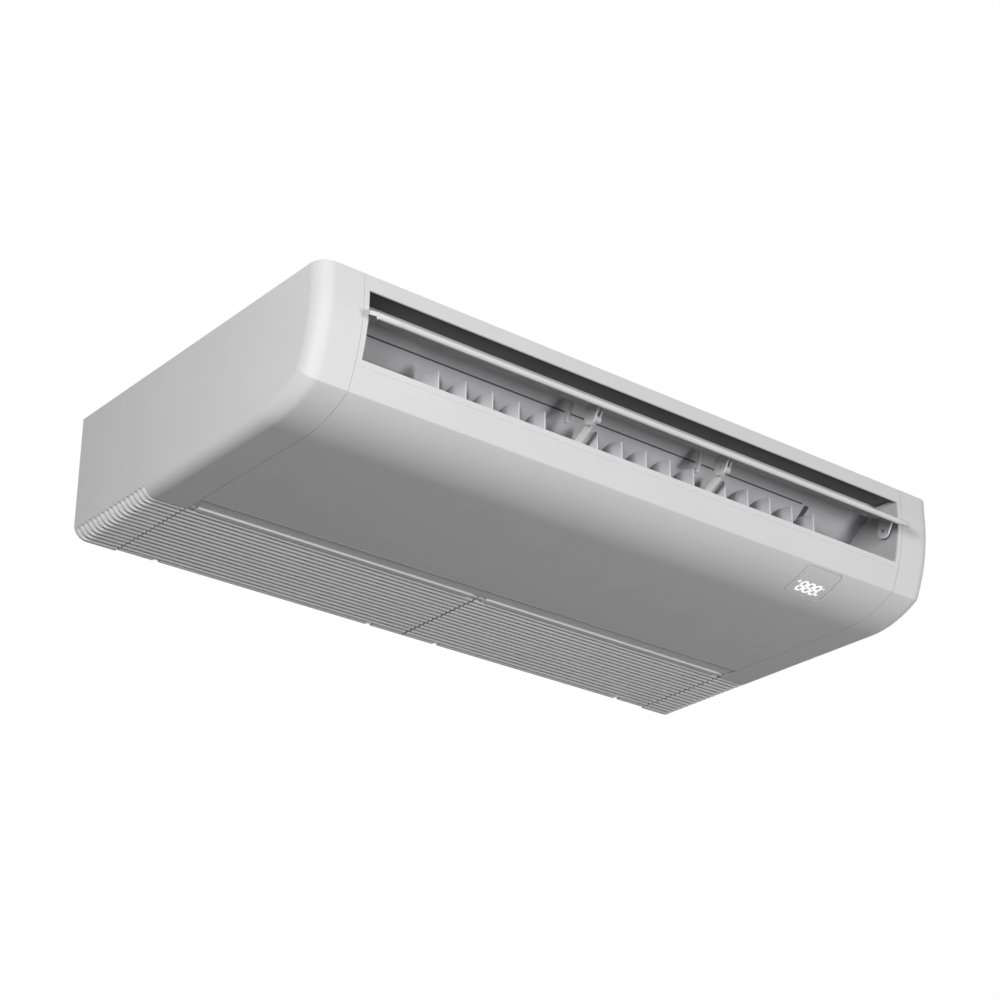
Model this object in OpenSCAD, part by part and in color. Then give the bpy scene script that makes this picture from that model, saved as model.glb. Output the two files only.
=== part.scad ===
// Floor-ceiling air conditioner, indoor unit, shown hung under a ceiling.
// X runs along the width, -Y is the air outlet side, +Z is up.
// The origin is the middle of the four suspension slots, on the top plane.

/* [Body] */
// Overall width
body_w = 1350; // [1250:10:1450]
// Overall depth
body_d = 690; // [660:5:720]
// Overall height
body_h = 220; // [214:1:228]
// Width of each moulded end cap
cap_w = 80; // [75:1:90]
// Thickness of the moulded plastic skins
skin_t = 3; // [2.5:0.1:3.5]
// Width of the dark joint between neighbouring skins
joint_gap = 0.8; // [0.5:0.1:1.2]
// Thickness of the sheet steel
sheet_t = 1.2; // [0.8:0.1:1.5]
// Clearance between pieces that seat on each other
seat_gap = 0.3; // [0.2:0.05:0.4]

/* [Front curve] */
// Height of the upright band at the top of the front
front_flat = 40; // [36:1:44]
// Radius of the front curve below that band
front_r = 330; // [310:5:360]
// Height of the crease line above the underside
crease_up = 34; // [30:1:40]
// Slope of the under curve where it meets the crease
under_angle = 33; // [31:1:36]
// Radius of the upright front corner of an end cap
cap_front_r = 28; // [24:1:32]
// Radius of the lower long edge of an end cap
cap_under_r = 24; // [20:1:27]

/* [Ribs] */
// Number of ribs across the intake area
rib_count = 17; // [15:1:17]
// Distance from rib to rib
rib_pitch = 12.8; // [12:0.1:13]
// Width of the slot between two ribs
rib_slot = 4.6; // [4:0.1:5.5]
// Depth of the grooves that carry the ribs on over the end caps
groove_depth = 4; // [3:0.1:4.5]
// Height to which the grooves climb the side of an end cap
groove_rise = 15; // [12:1:18]
// Wall of an end cap behind its ribs
rib_wall = 6.5; // [6:0.1:8]

/* [Outlet] */
// Height of the strip above the outlet
strip_h = 26; // [24:1:28]
// Height of the outlet mouth
mouth_h = 112; // [108:1:114]
// Width of the frame strip at each end of the mouth
frame_side = 10; // [8:1:13]
// Height of the lip under the mouth
lip_h = 9; // [7:1:10]
// Depth of the duct behind the mouth
duct_l = 150; // [146:1:156]
// Drop of the duct floor under the mouth
floor_drop = 12; // [10:1:14]

/* [Flap] */
// Distance of the flap pivot behind the front plane
pivot_d = 30; // [28:1:32]
// Distance of the flap pivot below the top plane
pivot_z = 75; // [74:1:77]
// Turn of the flap from its open rest pose to closed
flap_swing = 67; // [60:1:70]
// Thickness of the flap blade
flap_t = 3; // [2.5:0.1:3.5]
// Thickness of the stiff middle band of the flap
flap_band_t = 6.5; // [5:0.5:8]
// Running gap at each end and edge of the flap
flap_gap = 1.6; // [1.4:0.1:2.5]
// Radius of the flap pivot pins
flap_pin_r = 3; // [2.5:0.1:3.5]
// Radial play of pins and shafts in their holes
pin_play = 0.05; // [0.02:0.01:0.09]
// Position of the left flap strut along the width
strut_left_x = -105; // [-112:1:-98]
// Position of the right flap strut along the width
strut_right_x = 187; // [180:1:190]

/* [Vanes] */
// Number of vanes in each of the three groups
vane_group = 5; // [5:1:5]
// Distance from vane to vane
vane_pitch = 54; // [52:1:56]
// Middle of the left group of vanes
vane_left_x = -298; // [-306:1:-290]
// Middle of the centre group of vanes
vane_mid_x = 30; // [26:1:34]
// Middle of the right group of vanes
vane_right_x = 320; // [314:1:326]
// Distance of the vane front edges behind the front plane
vane_d = 60; // [58:1:64]
// Length of a vane from front to rear
vane_l = 58; // [54:1:60]
// Height of a vane at its front edge
vane_h = 70; // [66:1:71]
// Thickness of a vane
vane_t = 2; // [1.6:0.1:2.5]
// Radius of the vane pivot pins
vane_pin_r = 2; // [1.8:0.1:2.4]

/* [Intake] */
// Distance from the front edge of the grilles to the rear of the body
grille_l = 230; // [230:1:240]
// Width of the recessed ledge in front of the grilles
ledge_w = 31; // [26:1:36]
// Thickness of the grille ribs and rails together
grille_t = 12; // [11:0.5:13]
// Thickness of the air filters
filter_t = 4; // [3:0.5:5]

/* [Fans] */
// Distance of the fan shaft behind the front plane
fan_d = 515; // [505:1:525]
// Distance of the fan shaft below the top plane
fan_z = 104; // [102:1:106]
// Outer radius of the fan wheels
wheel_r = 74; // [68:1:76]
// Width of a fan wheel
wheel_w = 126; // [110:2:130]
// Number of blades of a fan wheel
blade_count = 28; // [20:2:36]
// Radius of the fan shaft
shaft_r = 6; // [5:0.5:7]
// Width of a fan casing
casing_w = 150; // [146:1:156]
// Distance of the inner casings from the middle
fan_inner_x = 172; // [168:1:176]
// Distance of the outer casings from the middle
fan_outer_x = 362; // [358:1:368]
// Radius of the fan motor
motor_r = 52; // [45:1:56]
// Length of the fan motor
motor_l = 130; // [110:2:150]

/* [Coil and drain] */
// Width of the finned coil
coil_w = 1080; // [1040:10:1100]
// Thickness of the coil measured along the depth
coil_t = 70; // [60:1:76]
// Lean of the top of the coil towards the rear
coil_lean = 65; // [50:1:75]
// Depth of the drain pan
pan_h = 34; // [30:1:38]
// Radius of the gas pipe
gas_r = 7.94; // [7.94:0.01:9.53]
// Radius of the liquid pipe
liquid_r = 4.76; // [4.76:0.01:6.35]
// Radius of the drain spout
spout_r = 13; // [12:0.5:14]

/* [Suspension] */
// Distance of the slots outside the side plates
slot_out = 25.3; // [24:0.1:28]
// Slot spacing along the depth
slot_dy = 280; // [260:5:300]
// Width of a slot
slot_w = 12; // [11:0.5:13]
// Length of a slot from end to end
slot_l = 22; // [18:1:24]
// Thickness of the hanging brackets
bracket_t = 3; // [2.5:0.5:3.5]
// Height of the upright leg of a hanging bracket
bracket_h = 55; // [45:1:60]
// Length of a hanging bracket past the middle of each slot
bracket_end = 55; // [45:1:60]

/* [Display] */
// Distance of the middle of the display window from the right end cap
display_in = 166; // [155:1:175]
// Width of the display window
display_w = 88; // [80:1:92]
// Height of the display window along the curve
display_h = 70; // [64:1:72]
// Corner radius of the display window
display_r = 8; // [6:1:10]

/* [Hidden] */
$fn = 64;

// A length that reaches past any face it has to cut
past = 5;
front_y = -body_d / 2;
seam_x = body_w / 2 - cap_w;
skin_x = seam_x - joint_gap;
plate_x = seam_x - seat_gap;
between_x = plate_x - sheet_t - seat_gap;
screw_head = 2;
rear_in = body_d - screw_head - sheet_t;
slot_x = plate_x + slot_out;
display_x = seam_x - display_in;
crease_z = body_h - crease_up;
crease_d = front_r - sqrt(front_r * front_r - (crease_z - front_flat) * (crease_z - front_flat));
under_r = (body_h - crease_z) / (1 - cos(under_angle));
under_d = crease_d + under_r * sin(under_angle);
under_z = under_r - body_h;
mouth_top = -strip_h;
mouth_low = -strip_h - mouth_h;
lip_low = mouth_low - lip_h;
mouth_x = seam_x - frame_side;
floor_z = mouth_low - floor_drop;
rib_w = rib_pitch - rib_slot;
rib_start = body_d - rib_count * rib_pitch;
grille_d = body_d - grille_l;
ledge_d = grille_d - ledge_w;
ledge_up = 1.5;
white = [0.88, 0.88, 0.88];
inner_grey = [0.55, 0.55, 0.56];
zinc = [0.72, 0.74, 0.76];
foam_grey = [0.3, 0.31, 0.33];

// Frames of reference: a side view drawn in depth and height, run along the width
module side_view(x0, x1) {
    translate([x0, front_y, 0]) rotate([90, 0, 90]) linear_extrude(height = x1 - x0) children();
}

// A front view drawn in width and height, run along the depth
module front_view(d0, d1) {
    translate([0, front_y + d1, 0]) rotate([90, 0, 0]) linear_extrude(height = d1 - d0) children();
}

// A rectangle between two corners
module span(a, b) {
    translate([min(a[0], b[0]), min(a[1], b[1])]) square([abs(b[0] - a[0]), abs(b[1] - a[1])]);
}

// A bar of width w between two points, with round ends
module bar(a, b, w) {
    length = norm(b - a);
    angle = atan2(b[1] - a[1], b[0] - a[0]);
    translate(a) rotate(angle) translate([0, -w / 2]) square([length, w]);
    translate(a) circle(d = w);
    translate(b) circle(d = w);
}

// A rectangle about the origin with round corners
module round_rect(w, h, r) {
    square([w - 2 * r, h], center = true);
    square([w, h - 2 * r], center = true);
    for (sx = [-1, 1], sy = [-1, 1]) translate([sx * (w / 2 - r), sy * (h / 2 - r)]) circle(r = r);
}

module both_sides() {
    children();
    mirror([1, 0, 0]) children();
}

// Side outline of the body, moved inwards by inset; it is open at the top and the rear
module body_outline(inset) {
    intersection() {
        span([inset, -body_h + inset], [body_d + past, past]);
        union() {
            translate([front_r, -front_flat]) circle(r = front_r - inset, $fn = 128);
            span([inset, -front_flat], [body_d + past, past]);
            span([front_r, -body_h], [body_d + past, past]);
        }
        union() {
            translate([under_d, under_z]) circle(r = under_r - inset, $fn = 128);
            span([under_d, -body_h], [body_d + past, past]);
            span([0, under_z], [body_d + past, past]);
        }
    }
}

// The outer skin in side view, limited to a window given by two corners
module skin_view(a, b, t = skin_t) {
    intersection() {
        difference() {
            body_outline(0);
            body_outline(t);
        }
        span(a, b);
    }
}

// What a rounded edge takes off a corner at the origin
module edge_cut(corner) {
    difference() {
        translate([-corner, -corner]) square(corner + past);
        translate([-corner, -corner]) circle(r = corner);
    }
}

// Full form of a right end cap, moved inwards by inset
module cap_form(inset) {
    side_x = body_w / 2 - inset;
    difference() {
        side_view(seam_x - past, side_x) body_outline(inset);
        translate([side_x, front_y + inset, -body_h - past]) mirror([0, 1, 0])
            linear_extrude(height = body_h + 3 * past) edge_cut(cap_front_r - inset);
        front_view(-past, body_d + 2 * past) translate([side_x, -body_h + inset]) mirror([0, 1, 0])
            edge_cut(cap_under_r - inset);
    }
}

// One groove between two ribs, wrapping the lower edge of the right end cap
module cap_groove(d) {
    side_x = body_w / 2;
    corner = cap_under_r - groove_depth;
    groove_top = -body_h + groove_rise;
    front_view(d, d + rib_slot) difference() {
        span([seam_x - past, -body_h - past], [side_x + past, groove_top]);
        span([0, -body_h + groove_depth + corner], [side_x - groove_depth, past]);
        span([0, -body_h + groove_depth], [side_x - groove_depth - corner, past]);
        translate([side_x - groove_depth - corner, -body_h + groove_depth + corner])
            circle(r = corner);
    }
    translate([side_x - groove_depth, front_y + d + rib_slot / 2, groove_top])
        rotate([0, 90, 0]) cylinder(d = rib_slot, h = groove_depth + past);
}

module end_cap() {
    difference() {
        intersection() {
            cap_form(0);
            translate([seam_x, front_y - past, -body_h - past])
                cube([cap_w + past, body_d + past, body_h + past]);
        }
        intersection() {
            cap_form(skin_t);
            translate([seam_x - past, front_y - past, -body_h])
                cube([cap_w + 2 * past, rib_start + past - skin_t, body_h + past]);
        }
        cap_form(rib_wall);
        for (i = [0 : rib_count - 1]) cap_groove(rib_start + i * rib_pitch);
    }
}

module end_cap_left() {
    color(white) mirror([1, 0, 0]) end_cap();
}

module end_cap_right() {
    color(white) end_cap();
}

// Steel chassis: top, rear and side plates
module top_plate() {
    color(zinc) translate([-plate_x + sheet_t, front_y + skin_t + seat_gap, -sheet_t])
        cube([2 * (plate_x - sheet_t), rear_in + sheet_t - skin_t - seat_gap, sheet_t]);
}

// Hinge line of the intake grilles
hinge_r = 6.5;
hinge_d = body_d - screw_head - hinge_r + 1.5;
hinge_z = -body_h + hinge_r;
hinge_pin_r = 2;
lug_w = 10;
lug_r = 4.6;
lug_in_x = 76;
lug_out_x = seam_x - 75;
lug_xs = [-lug_out_x, -lug_in_x, lug_in_x, lug_out_x];
rear_low = -body_h + 2 * hinge_r + 1.5;

module rear_plate() {
    color(zinc) {
        front_view(rear_in, rear_in + sheet_t) difference() {
            span([-plate_x + sheet_t, rear_low], [plate_x - sheet_t, -sheet_t]);
            translate(cable_at) circle(r = cable_r);
        }
        for (x = lug_xs) difference() {
            side_view(x - lug_w / 2, x + lug_w / 2) {
                translate([hinge_d, hinge_z]) circle(r = lug_r);
                span([rear_in - sheet_t, hinge_z], [rear_in, rear_low + 8]);
                span([hinge_d, hinge_z], [rear_in, hinge_z + lug_r]);
            }
            side_view(x - lug_w, x + lug_w)
                translate([hinge_d, hinge_z]) circle(r = hinge_pin_r + pin_play);
        }
    }
}

// Places where pipes pass the right side plate, in depth and height; the cable in width and height
gas_at = [252, -72];
liquid_at = [236, -108];
spout_at = [322, 30 - body_h];
cable_at = [46.7 - plate_x, -60];
cable_r = 14;
pipe_hole_play = 1;

module side_plate() {
    difference() {
        side_view(plate_x - sheet_t, plate_x) intersection() {
            body_outline(skin_t + seat_gap);
            span([0, -body_h + grille_t + 5], [rear_in + sheet_t, 0]);
        }
        children();
    }
}

module plate_hole(at, r) {
    side_view(plate_x - past, plate_x + past) translate(at) circle(r = r);
}

module side_plate_left() {
    color(zinc) mirror([1, 0, 0]) side_plate();
}

module side_plate_right() {
    color(zinc) side_plate() {
        plate_hole(gas_at, gas_r + pipe_hole_play);
        plate_hole(liquid_at, liquid_r + pipe_hole_play);
        plate_hole(spout_at, spout_r + pipe_hole_play);
        plate_hole([pivot_d, -pivot_z], flap_pin_r + 2);
    }
}

// Pair of angle brackets that take the four suspension bolts
module hanging_brackets() {
    arm = slot_dy + 2 * bracket_end;
    edge = 14;
    flange = slot_out + slot_l / 2 + edge;
    color(zinc) both_sides() {
        translate([plate_x, -arm / 2, -bracket_h]) cube([bracket_t, arm, bracket_h]);
        difference() {
            translate([plate_x, -arm / 2, -bracket_t]) cube([flange, arm, bracket_t]);
            for (y = [-slot_dy / 2, slot_dy / 2])
                translate([slot_x, y, -bracket_t - 1]) linear_extrude(height = bracket_t + 2) {
                    square([slot_l - slot_w, slot_w], center = true);
                    for (s = [-1, 1]) translate([s * (slot_l - slot_w) / 2, 0]) circle(d = slot_w);
                }
        }
    }
}

module top_front_strip() {
    color(white) {
        side_view(-skin_x, skin_x) skin_view([0, mouth_top], [skin_t + 1, 0]);
        side_view(-between_x, between_x)
            span([skin_t - 1, -sheet_t - skin_t - seat_gap], [26, -sheet_t - seat_gap]);
    }
}

module outlet_frame() {
    color(white) {
        side_view(-skin_x, skin_x) skin_view([0, lip_low], [60, mouth_low]);
        both_sides() side_view(mouth_x, skin_x)
            skin_view([0, mouth_low - 1], [60, mouth_top - seat_gap]);
    }
}

// Line of the duct roof, from the mouth to the coil
function roof_line() = [[skin_t, mouth_top + 5], [21, -17], [50, -17], [88, -42], [116, -66],
    [duct_l, -86]];

module duct_roof() {
    line = roof_line();
    upper = [for (i = [len(line) - 1 : -1 : 0]) line[i] + [0, skin_t]];
    color(inner_grey) side_view(-mouth_x, mouth_x) polygon(concat(line, upper));
}

// Depth of the inner face of the lip at its lower edge
lip_in = front_r + seat_gap - sqrt(pow(front_r - skin_t, 2) - pow(-lip_low - front_flat, 2));

module duct_floor() {
    color(inner_grey) difference() {
        side_view(-mouth_x, mouth_x) polygon([[lip_in, mouth_low - 1], [lip_in + 2.5, mouth_low - 1],
            [lip_in + 6, floor_z], [duct_l, floor_z], [duct_l, floor_z - skin_t],
            [lip_in + 3, floor_z - skin_t], [lip_in, lip_low]]);
        for (x = vane_xs()) translate([x, vane_axis_y, floor_z - skin_t - 1])
            cylinder(r = vane_pin_r + pin_play, h = skin_t + 2);
    }
}

module duct_sides() {
    line = roof_line();
    shape = concat(line, [[duct_l, floor_z - skin_t], [skin_t, floor_z - skin_t]]);
    color(inner_grey) {
        difference() {
            both_sides() side_view(mouth_x + 0.05, mouth_x + 0.05 + skin_t) intersection() {
                polygon(shape);
                body_outline(skin_t + seat_gap);
            }
            side_view(mouth_x - 1, mouth_x + skin_t + 1)
                translate([pivot_d, -pivot_z]) circle(r = flap_pin_r + 2);
        }
        mirror([1, 0, 0]) side_view(flap_end - 8.5, mouth_x + 1)
            translate([pivot_d, -pivot_z]) circle(r = flap_pin_r);
    }
}

module display_prism(w, h, r) {
    turn = display_turn();
    translate([display_x, front_y + under_d, under_z]) rotate([-turn, 0, 0])
        translate([0, 0, -under_r - past]) linear_extrude(height = 4 * past) round_rect(w, h, r);
}

// Angle of the middle of the display window on the under curve
function display_turn() = under_angle - (display_h / 2 + 5) * 180 / PI / under_r;

module fascia_panel() {
    flange_l = 36;
    color(white) difference() {
        side_view(-skin_x, skin_x) {
            skin_view([0, -body_h], [ledge_d, lip_low - seat_gap]);
            span([ledge_d - skin_t, -body_h + ledge_up], [grille_d - joint_gap, -body_h + ledge_up + skin_t]);
        }
        display_prism(display_w, display_h, display_r);
    }
    color(white) side_view(-between_x, between_x)
        span([lip_in, floor_z - 2 * skin_t - seat_gap], [lip_in + flange_l, floor_z - skin_t - seat_gap]);
}

module display_window() {
    gap = 0.3;
    color([0.8, 0.8, 0.81]) intersection() {
        side_view(display_x - display_w, display_x + display_w)
            skin_view([0, -body_h], [under_d, -front_flat]);
        display_prism(display_w - 2 * gap, display_h - 2 * gap, display_r - gap);
    }
}

// Flap: drawn closed in the mouth, then turned open about its pivot
flap_end = mouth_x - flap_gap;
flap_top = mouth_top - 2 * flap_gap;
flap_low = mouth_low + flap_gap / 2;
arm_t = 3;
ear_t = 2.5;
ear_r = 14;
ear_side_x = flap_end - 7;

module flap_turned() {
    translate([0, front_y + pivot_d, -pivot_z]) rotate([-flap_swing, 0, 0])
        translate([0, -front_y - pivot_d, pivot_z]) children();
}

// Hanger plate from the blade to the pivot
module flap_ear(x0, x1) {
    side_view(x0, x1) difference() {
        union() {
            translate([pivot_d, -pivot_z]) circle(r = ear_r);
            polygon([[8, -pivot_z - ear_r - 3], [pivot_d, -pivot_z - ear_r + 0.5],
                [pivot_d, -pivot_z + ear_r - 0.5], [8, -pivot_z + ear_r + 3]]);
        }
        translate([pivot_d, -pivot_z]) circle(r = flap_pin_r + pin_play);
    }
}

// Slim arm beside each strut
module flap_arm(x0, x1) {
    side_view(x0, x1) difference() {
        union() {
            bar([9, -pivot_z - 6], [pivot_d, -pivot_z], 5);
            translate([pivot_d, -pivot_z]) circle(r = flap_pin_r + 3.5);
        }
        translate([pivot_d, -pivot_z]) circle(r = flap_pin_r + pin_play);
    }
}

// Short lever with a pin hole at its tip
module flap_lever(x0, x1) {
    tip = [38.5, -pivot_z + 40];
    half = 4.5;
    side_view(x0, x1) difference() {
        union() {
            polygon([[5, tip[1] - half - 2], tip - [0, half], tip + [0, half], [5, tip[1] + half]]);
            translate(tip) circle(r = half + 0.7);
        }
        translate(tip) circle(r = 2);
    }
}

// Section of the flap blade: a thick band between two thinner edge strips
module flap_section() {
    edge = 9;
    difference() {
        intersection() {
            body_outline(0);
            span([0, flap_low], [60, flap_top]);
        }
        body_outline(flap_band_t);
        intersection() {
            body_outline(flap_t);
            union() {
                span([0, flap_low - 1], [60, flap_low + edge]);
                span([0, flap_top - edge], [60, flap_top + 1]);
            }
        }
    }
}

module flap() {
    color(white) flap_turned() {
        side_view(-flap_end, flap_end) flap_section();
        flap_ear(-ear_side_x - ear_t, -ear_side_x);
        flap_ear(ear_side_x, ear_side_x + ear_t);
        for (x = [strut_left_x, strut_right_x]) {
            flap_arm(x + seat_gap, x + seat_gap + arm_t);
            flap_ear(x - 16, x - 16 + ear_t);
            flap_lever(x - 34, x - 28);
        }
    }
}

// Strut that carries the flap from the duct floor
module flap_strut(x) {
    knee = [74, -99];
    foot = [79, floor_z];
    side_view(x - 8, x) {
        bar([pivot_d, -pivot_z], knee, 8);
        translate([pivot_d, -pivot_z]) circle(r = 6.5);
        polygon([knee + [-4, -1], knee + [4, 1], foot + [4, 0], foot + [-4, 0]]);
    }
    side_view(x - 12, x + 4) span([foot[0] - 9, floor_z], [foot[0] + 9, floor_z + 2.5]);
    side_view(x - 18, x + seat_gap + arm_t + 1) translate([pivot_d, -pivot_z]) circle(r = flap_pin_r);
}

module flap_strut_left() {
    color(white) flap_strut(strut_left_x);
}

module flap_strut_right() {
    color(white) flap_strut(strut_right_x);
}

module flap_motor() {
    color([0.85, 0.85, 0.85]) {
        side_view(plate_x + seat_gap, plate_x + 20) translate([pivot_d, -pivot_z]) circle(r = 14);
        side_view(plate_x + seat_gap, plate_x + 3)
            bar([pivot_d, -pivot_z - 17.5], [pivot_d, -pivot_z + 17.5], 8);
        side_view(ear_side_x - 1.5, plate_x + 1) translate([pivot_d, -pivot_z]) circle(r = flap_pin_r);
    }
}

// Vanes: three groups of upright blades on the duct floor
vane_axis_y = front_y + vane_d + 30;
crank_y = front_y + vane_d + vane_l - 6;
crank_r = 1.5;
vane_bottom = floor_z + 3;
link_t = 2;

function group_x(g) = [vane_left_x, vane_mid_x, vane_right_x][g];
function vane_x(i) = group_x(floor(i / vane_group)) + (i % vane_group - (vane_group - 1) / 2) * vane_pitch;
function vane_xs() = [for (i = [0 : 3 * vane_group - 1]) vane_x(i)];

module vane(i) {
    x = vane_x(i);
    tip_z = vane_bottom + vane_h;
    rear_h = 32;
    color(inner_grey) {
        side_view(x - vane_t / 2, x + vane_t / 2) polygon([[vane_d, vane_bottom], [vane_d, tip_z],
            [vane_d + vane_l, vane_bottom + rear_h], [vane_d + vane_l, vane_bottom]]);
        translate([x, vane_axis_y, floor_z + 0.3]) cylinder(r = vane_pin_r + 2, h = 12);
        translate([x, vane_axis_y, floor_z - skin_t]) cylinder(r = vane_pin_r, h = skin_t + 1);
        translate([x, crank_y, floor_z + 0.4]) cylinder(r = crank_r, h = vane_bottom - floor_z + 1);
    }
}

module vane_link(g) {
    half = (vane_group - 1) / 2 * vane_pitch;
    x = group_x(g);
    color([0.45, 0.45, 0.46]) difference() {
        translate([x, crank_y, floor_z + 0.4]) linear_extrude(height = link_t) bar([-half, 0], [half, 0], 7);
        for (k = [0 : vane_group - 1]) translate([x - half + k * vane_pitch, crank_y, floor_z - 1])
            cylinder(r = crank_r + pin_play, h = 6);
    }
}

module vane_link_left() {
    vane_link(0);
}

module vane_link_middle() {
    vane_link(1);
}

module vane_link_right() {
    vane_link(2);
}

// One small motor under the middle vane of each group
module vane_motors() {
    color([0.8, 0.8, 0.8]) for (g = [0 : 2]) translate([group_x(g), vane_axis_y, floor_z - skin_t - seat_gap])
        mirror([0, 0, 1]) {
            cylinder(r = 13, h = 16);
            linear_extrude(height = 2) bar([-17, 0], [17, 0], 8);
        }
}

// Drain pan under the coil
pan_front = duct_l + 6;
pan_floor = -body_h + skin_t + 3;
pan_top = pan_floor + pan_h;
deck_d = 342;

module drain_pan() {
    wall = 6;
    end_x = plate_x - sheet_t - seat_gap;
    color(foam_grey) difference() {
        side_view(-end_x, end_x) span([pan_front, pan_floor], [deck_d - seat_gap, pan_top]);
        side_view(-end_x + wall, end_x - wall) {
            span([pan_front + wall, pan_floor + wall], [coil_foot - 2, pan_top + 1]);
            span([coil_foot + coil_t + 2, pan_floor + wall], [deck_d - wall, pan_top + 1]);
            span([coil_foot - 3, coil_low], [coil_foot + coil_t + 3, pan_top + 1]);
        }
        side_view(end_x - wall - 1, end_x + 1) translate(spout_at) circle(r = spout_r - 2);
    }
}

coil_foot = pan_front + 16;
coil_low = pan_floor + 12;
coil_top = -14;

module evaporator_coil() {
    end_t = 1.5;
    color([0.7, 0.72, 0.75]) {
        side_view(-coil_w / 2, coil_w / 2) polygon([[coil_foot, coil_low], [coil_foot + coil_t, coil_low],
            [coil_foot + coil_t + coil_lean, coil_top], [coil_foot + coil_lean, coil_top]]);
        // Return bends of the copper tubes at both ends
        rows = 6;
        tube_in = 18;
        tube_pitch = 34;
        for (s = [-1, 1], i = [0 : rows - 1], c = [0, 1]) {
            t = (i + 0.7) / (rows + 0.4);
            d = coil_foot + coil_lean * t + tube_in + c * tube_pitch;
            z = coil_low + (coil_top - coil_low) * t;
            translate([s * coil_w / 2, front_y + d, z]) rotate([0, s * 90, 0]) tube_bend(8, 3.5);
        }
    }
}

// Half ring of tube standing on the plane z = 0
module tube_bend(r, tube) {
    rotate([90, 0, 0]) rotate_extrude(angle = 180) translate([r, 0]) circle(r = tube);
}

// Plate between the fan space and the coil, with one window for each casing
module fan_deck() {
    color(zinc) difference() {
        front_view(deck_d, deck_d + sheet_t)
            span([-plate_x + sheet_t + seat_gap, -body_h + grille_t + 6],
                [plate_x - sheet_t - seat_gap, -sheet_t - seat_gap]);
        for (x = fan_xs()) front_view(deck_d - 1, deck_d + sheet_t + 1)
            span([x - casing_w / 2 + sheet_t, outlet_low], [x + casing_w / 2 - sheet_t, outlet_top]);
    }
}

function fan_xs() = [-fan_outer_x, -fan_inner_x, fan_inner_x, fan_outer_x];
scroll_r = wheel_r + 5;
scroll_step = 3.5;
outlet_top = -fan_z + scroll_r + 3 * scroll_step - 4;
outlet_low = -fan_z + 8;
casing_t = 2;

// Spiral outline of a fan casing, opened forwards over the wheel
module scroll(inset) {
    translate([fan_d, -fan_z]) {
        for (q = [0 : 3]) {
            r = scroll_r + q * scroll_step - inset;
            intersection() {
                circle(r = r, $fn = 96);
                rotate(180 + 90 * q) square(r + 1);
            }
        }
    }
    span([deck_d + sheet_t + seat_gap - (inset > 0 ? 1 : 0), outlet_low + inset],
        [fan_d, outlet_top - inset]);
}

module fan_casing(k) {
    x = fan_xs()[k];
    inlet_r = wheel_r - 14;
    color([0.35, 0.36, 0.38]) difference() {
        side_view(x - casing_w / 2, x + casing_w / 2) scroll(0);
        side_view(x - casing_w / 2 + casing_t, x + casing_w / 2 - casing_t) scroll(casing_t);
        side_view(x - casing_w, x + casing_w) translate([fan_d, -fan_z]) circle(r = inlet_r);
    }
}

// Forward-curved blade wheel on the shaft
module fan_wheel(k) {
    x = fan_xs()[k];
    ring = 9;
    hub_r = 16;
    color([0.2, 0.21, 0.22]) {
        side_view(x - wheel_w / 2, x + wheel_w / 2) translate([fan_d, -fan_z]) for (i = [0 : blade_count - 1])
            rotate(i * 360 / blade_count) translate([wheel_r - ring / 2 - 1, 0]) rotate(35)
                square([ring + 1, 1.2], center = true);
        for (side = [-1, 1]) translate([side * (wheel_w - 3) / 2, 0, 0]) side_view(x - 1.5, x + 1.5)
            translate([fan_d, -fan_z]) difference() {
                circle(r = wheel_r);
                circle(r = wheel_r - ring);
            }
        side_view(x - 1.5, x + 1.5) translate([fan_d, -fan_z]) difference() {
            circle(r = wheel_r);
            circle(r = shaft_r + 0.02);
        }
        side_view(x - 14, x + 14) translate([fan_d, -fan_z]) difference() {
            circle(r = hub_r);
            circle(r = shaft_r + 0.02);
        }
    }
}

shaft_end = fan_outer_x + casing_w / 2 + 30;

module fan_shaft() {
    color([0.75, 0.76, 0.78]) side_view(-shaft_end, shaft_end) translate([fan_d, -fan_z]) circle(r = shaft_r);
}

module fan_motor() {
    color([0.25, 0.26, 0.28]) difference() {
        union() {
            side_view(-motor_l / 2, motor_l / 2) translate([fan_d, -fan_z]) circle(r = motor_r);
            side_view(-motor_l / 2 - 12, motor_l / 2 + 12) translate([fan_d, -fan_z]) circle(r = 20);
        }
        side_view(-motor_l, motor_l) translate([fan_d, -fan_z]) circle(r = shaft_r + pin_play);
    }
}

// Saddle that hangs the motor from the top plate
module motor_bracket() {
    wide = 30;
    color(zinc) difference() {
        side_view(-wide / 2, wide / 2) {
            translate([fan_d, -fan_z]) circle(r = motor_r + seat_gap + 2);
            span([fan_d - motor_r, -fan_z + 20], [fan_d + motor_r, -sheet_t - seat_gap]);
        }
        side_view(-wide, wide) translate([fan_d, -fan_z]) circle(r = motor_r + seat_gap);
        side_view(-wide, wide) span([fan_d - motor_r + 12, -fan_z + motor_r - 2],
            [fan_d + motor_r - 12, -sheet_t - seat_gap - 3]);
    }
}

// End bearings of the shaft, hung from the top plate
module shaft_bearings() {
    x0 = shaft_end - 18;
    color([0.3, 0.3, 0.32]) both_sides() side_view(x0, x0 + 12) difference() {
        union() {
            translate([fan_d, -fan_z]) circle(r = 18);
            span([fan_d - 14, -fan_z], [fan_d + 14, -sheet_t - seat_gap]);
        }
        translate([fan_d, -fan_z]) circle(r = shaft_r + pin_play);
    }
}

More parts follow.
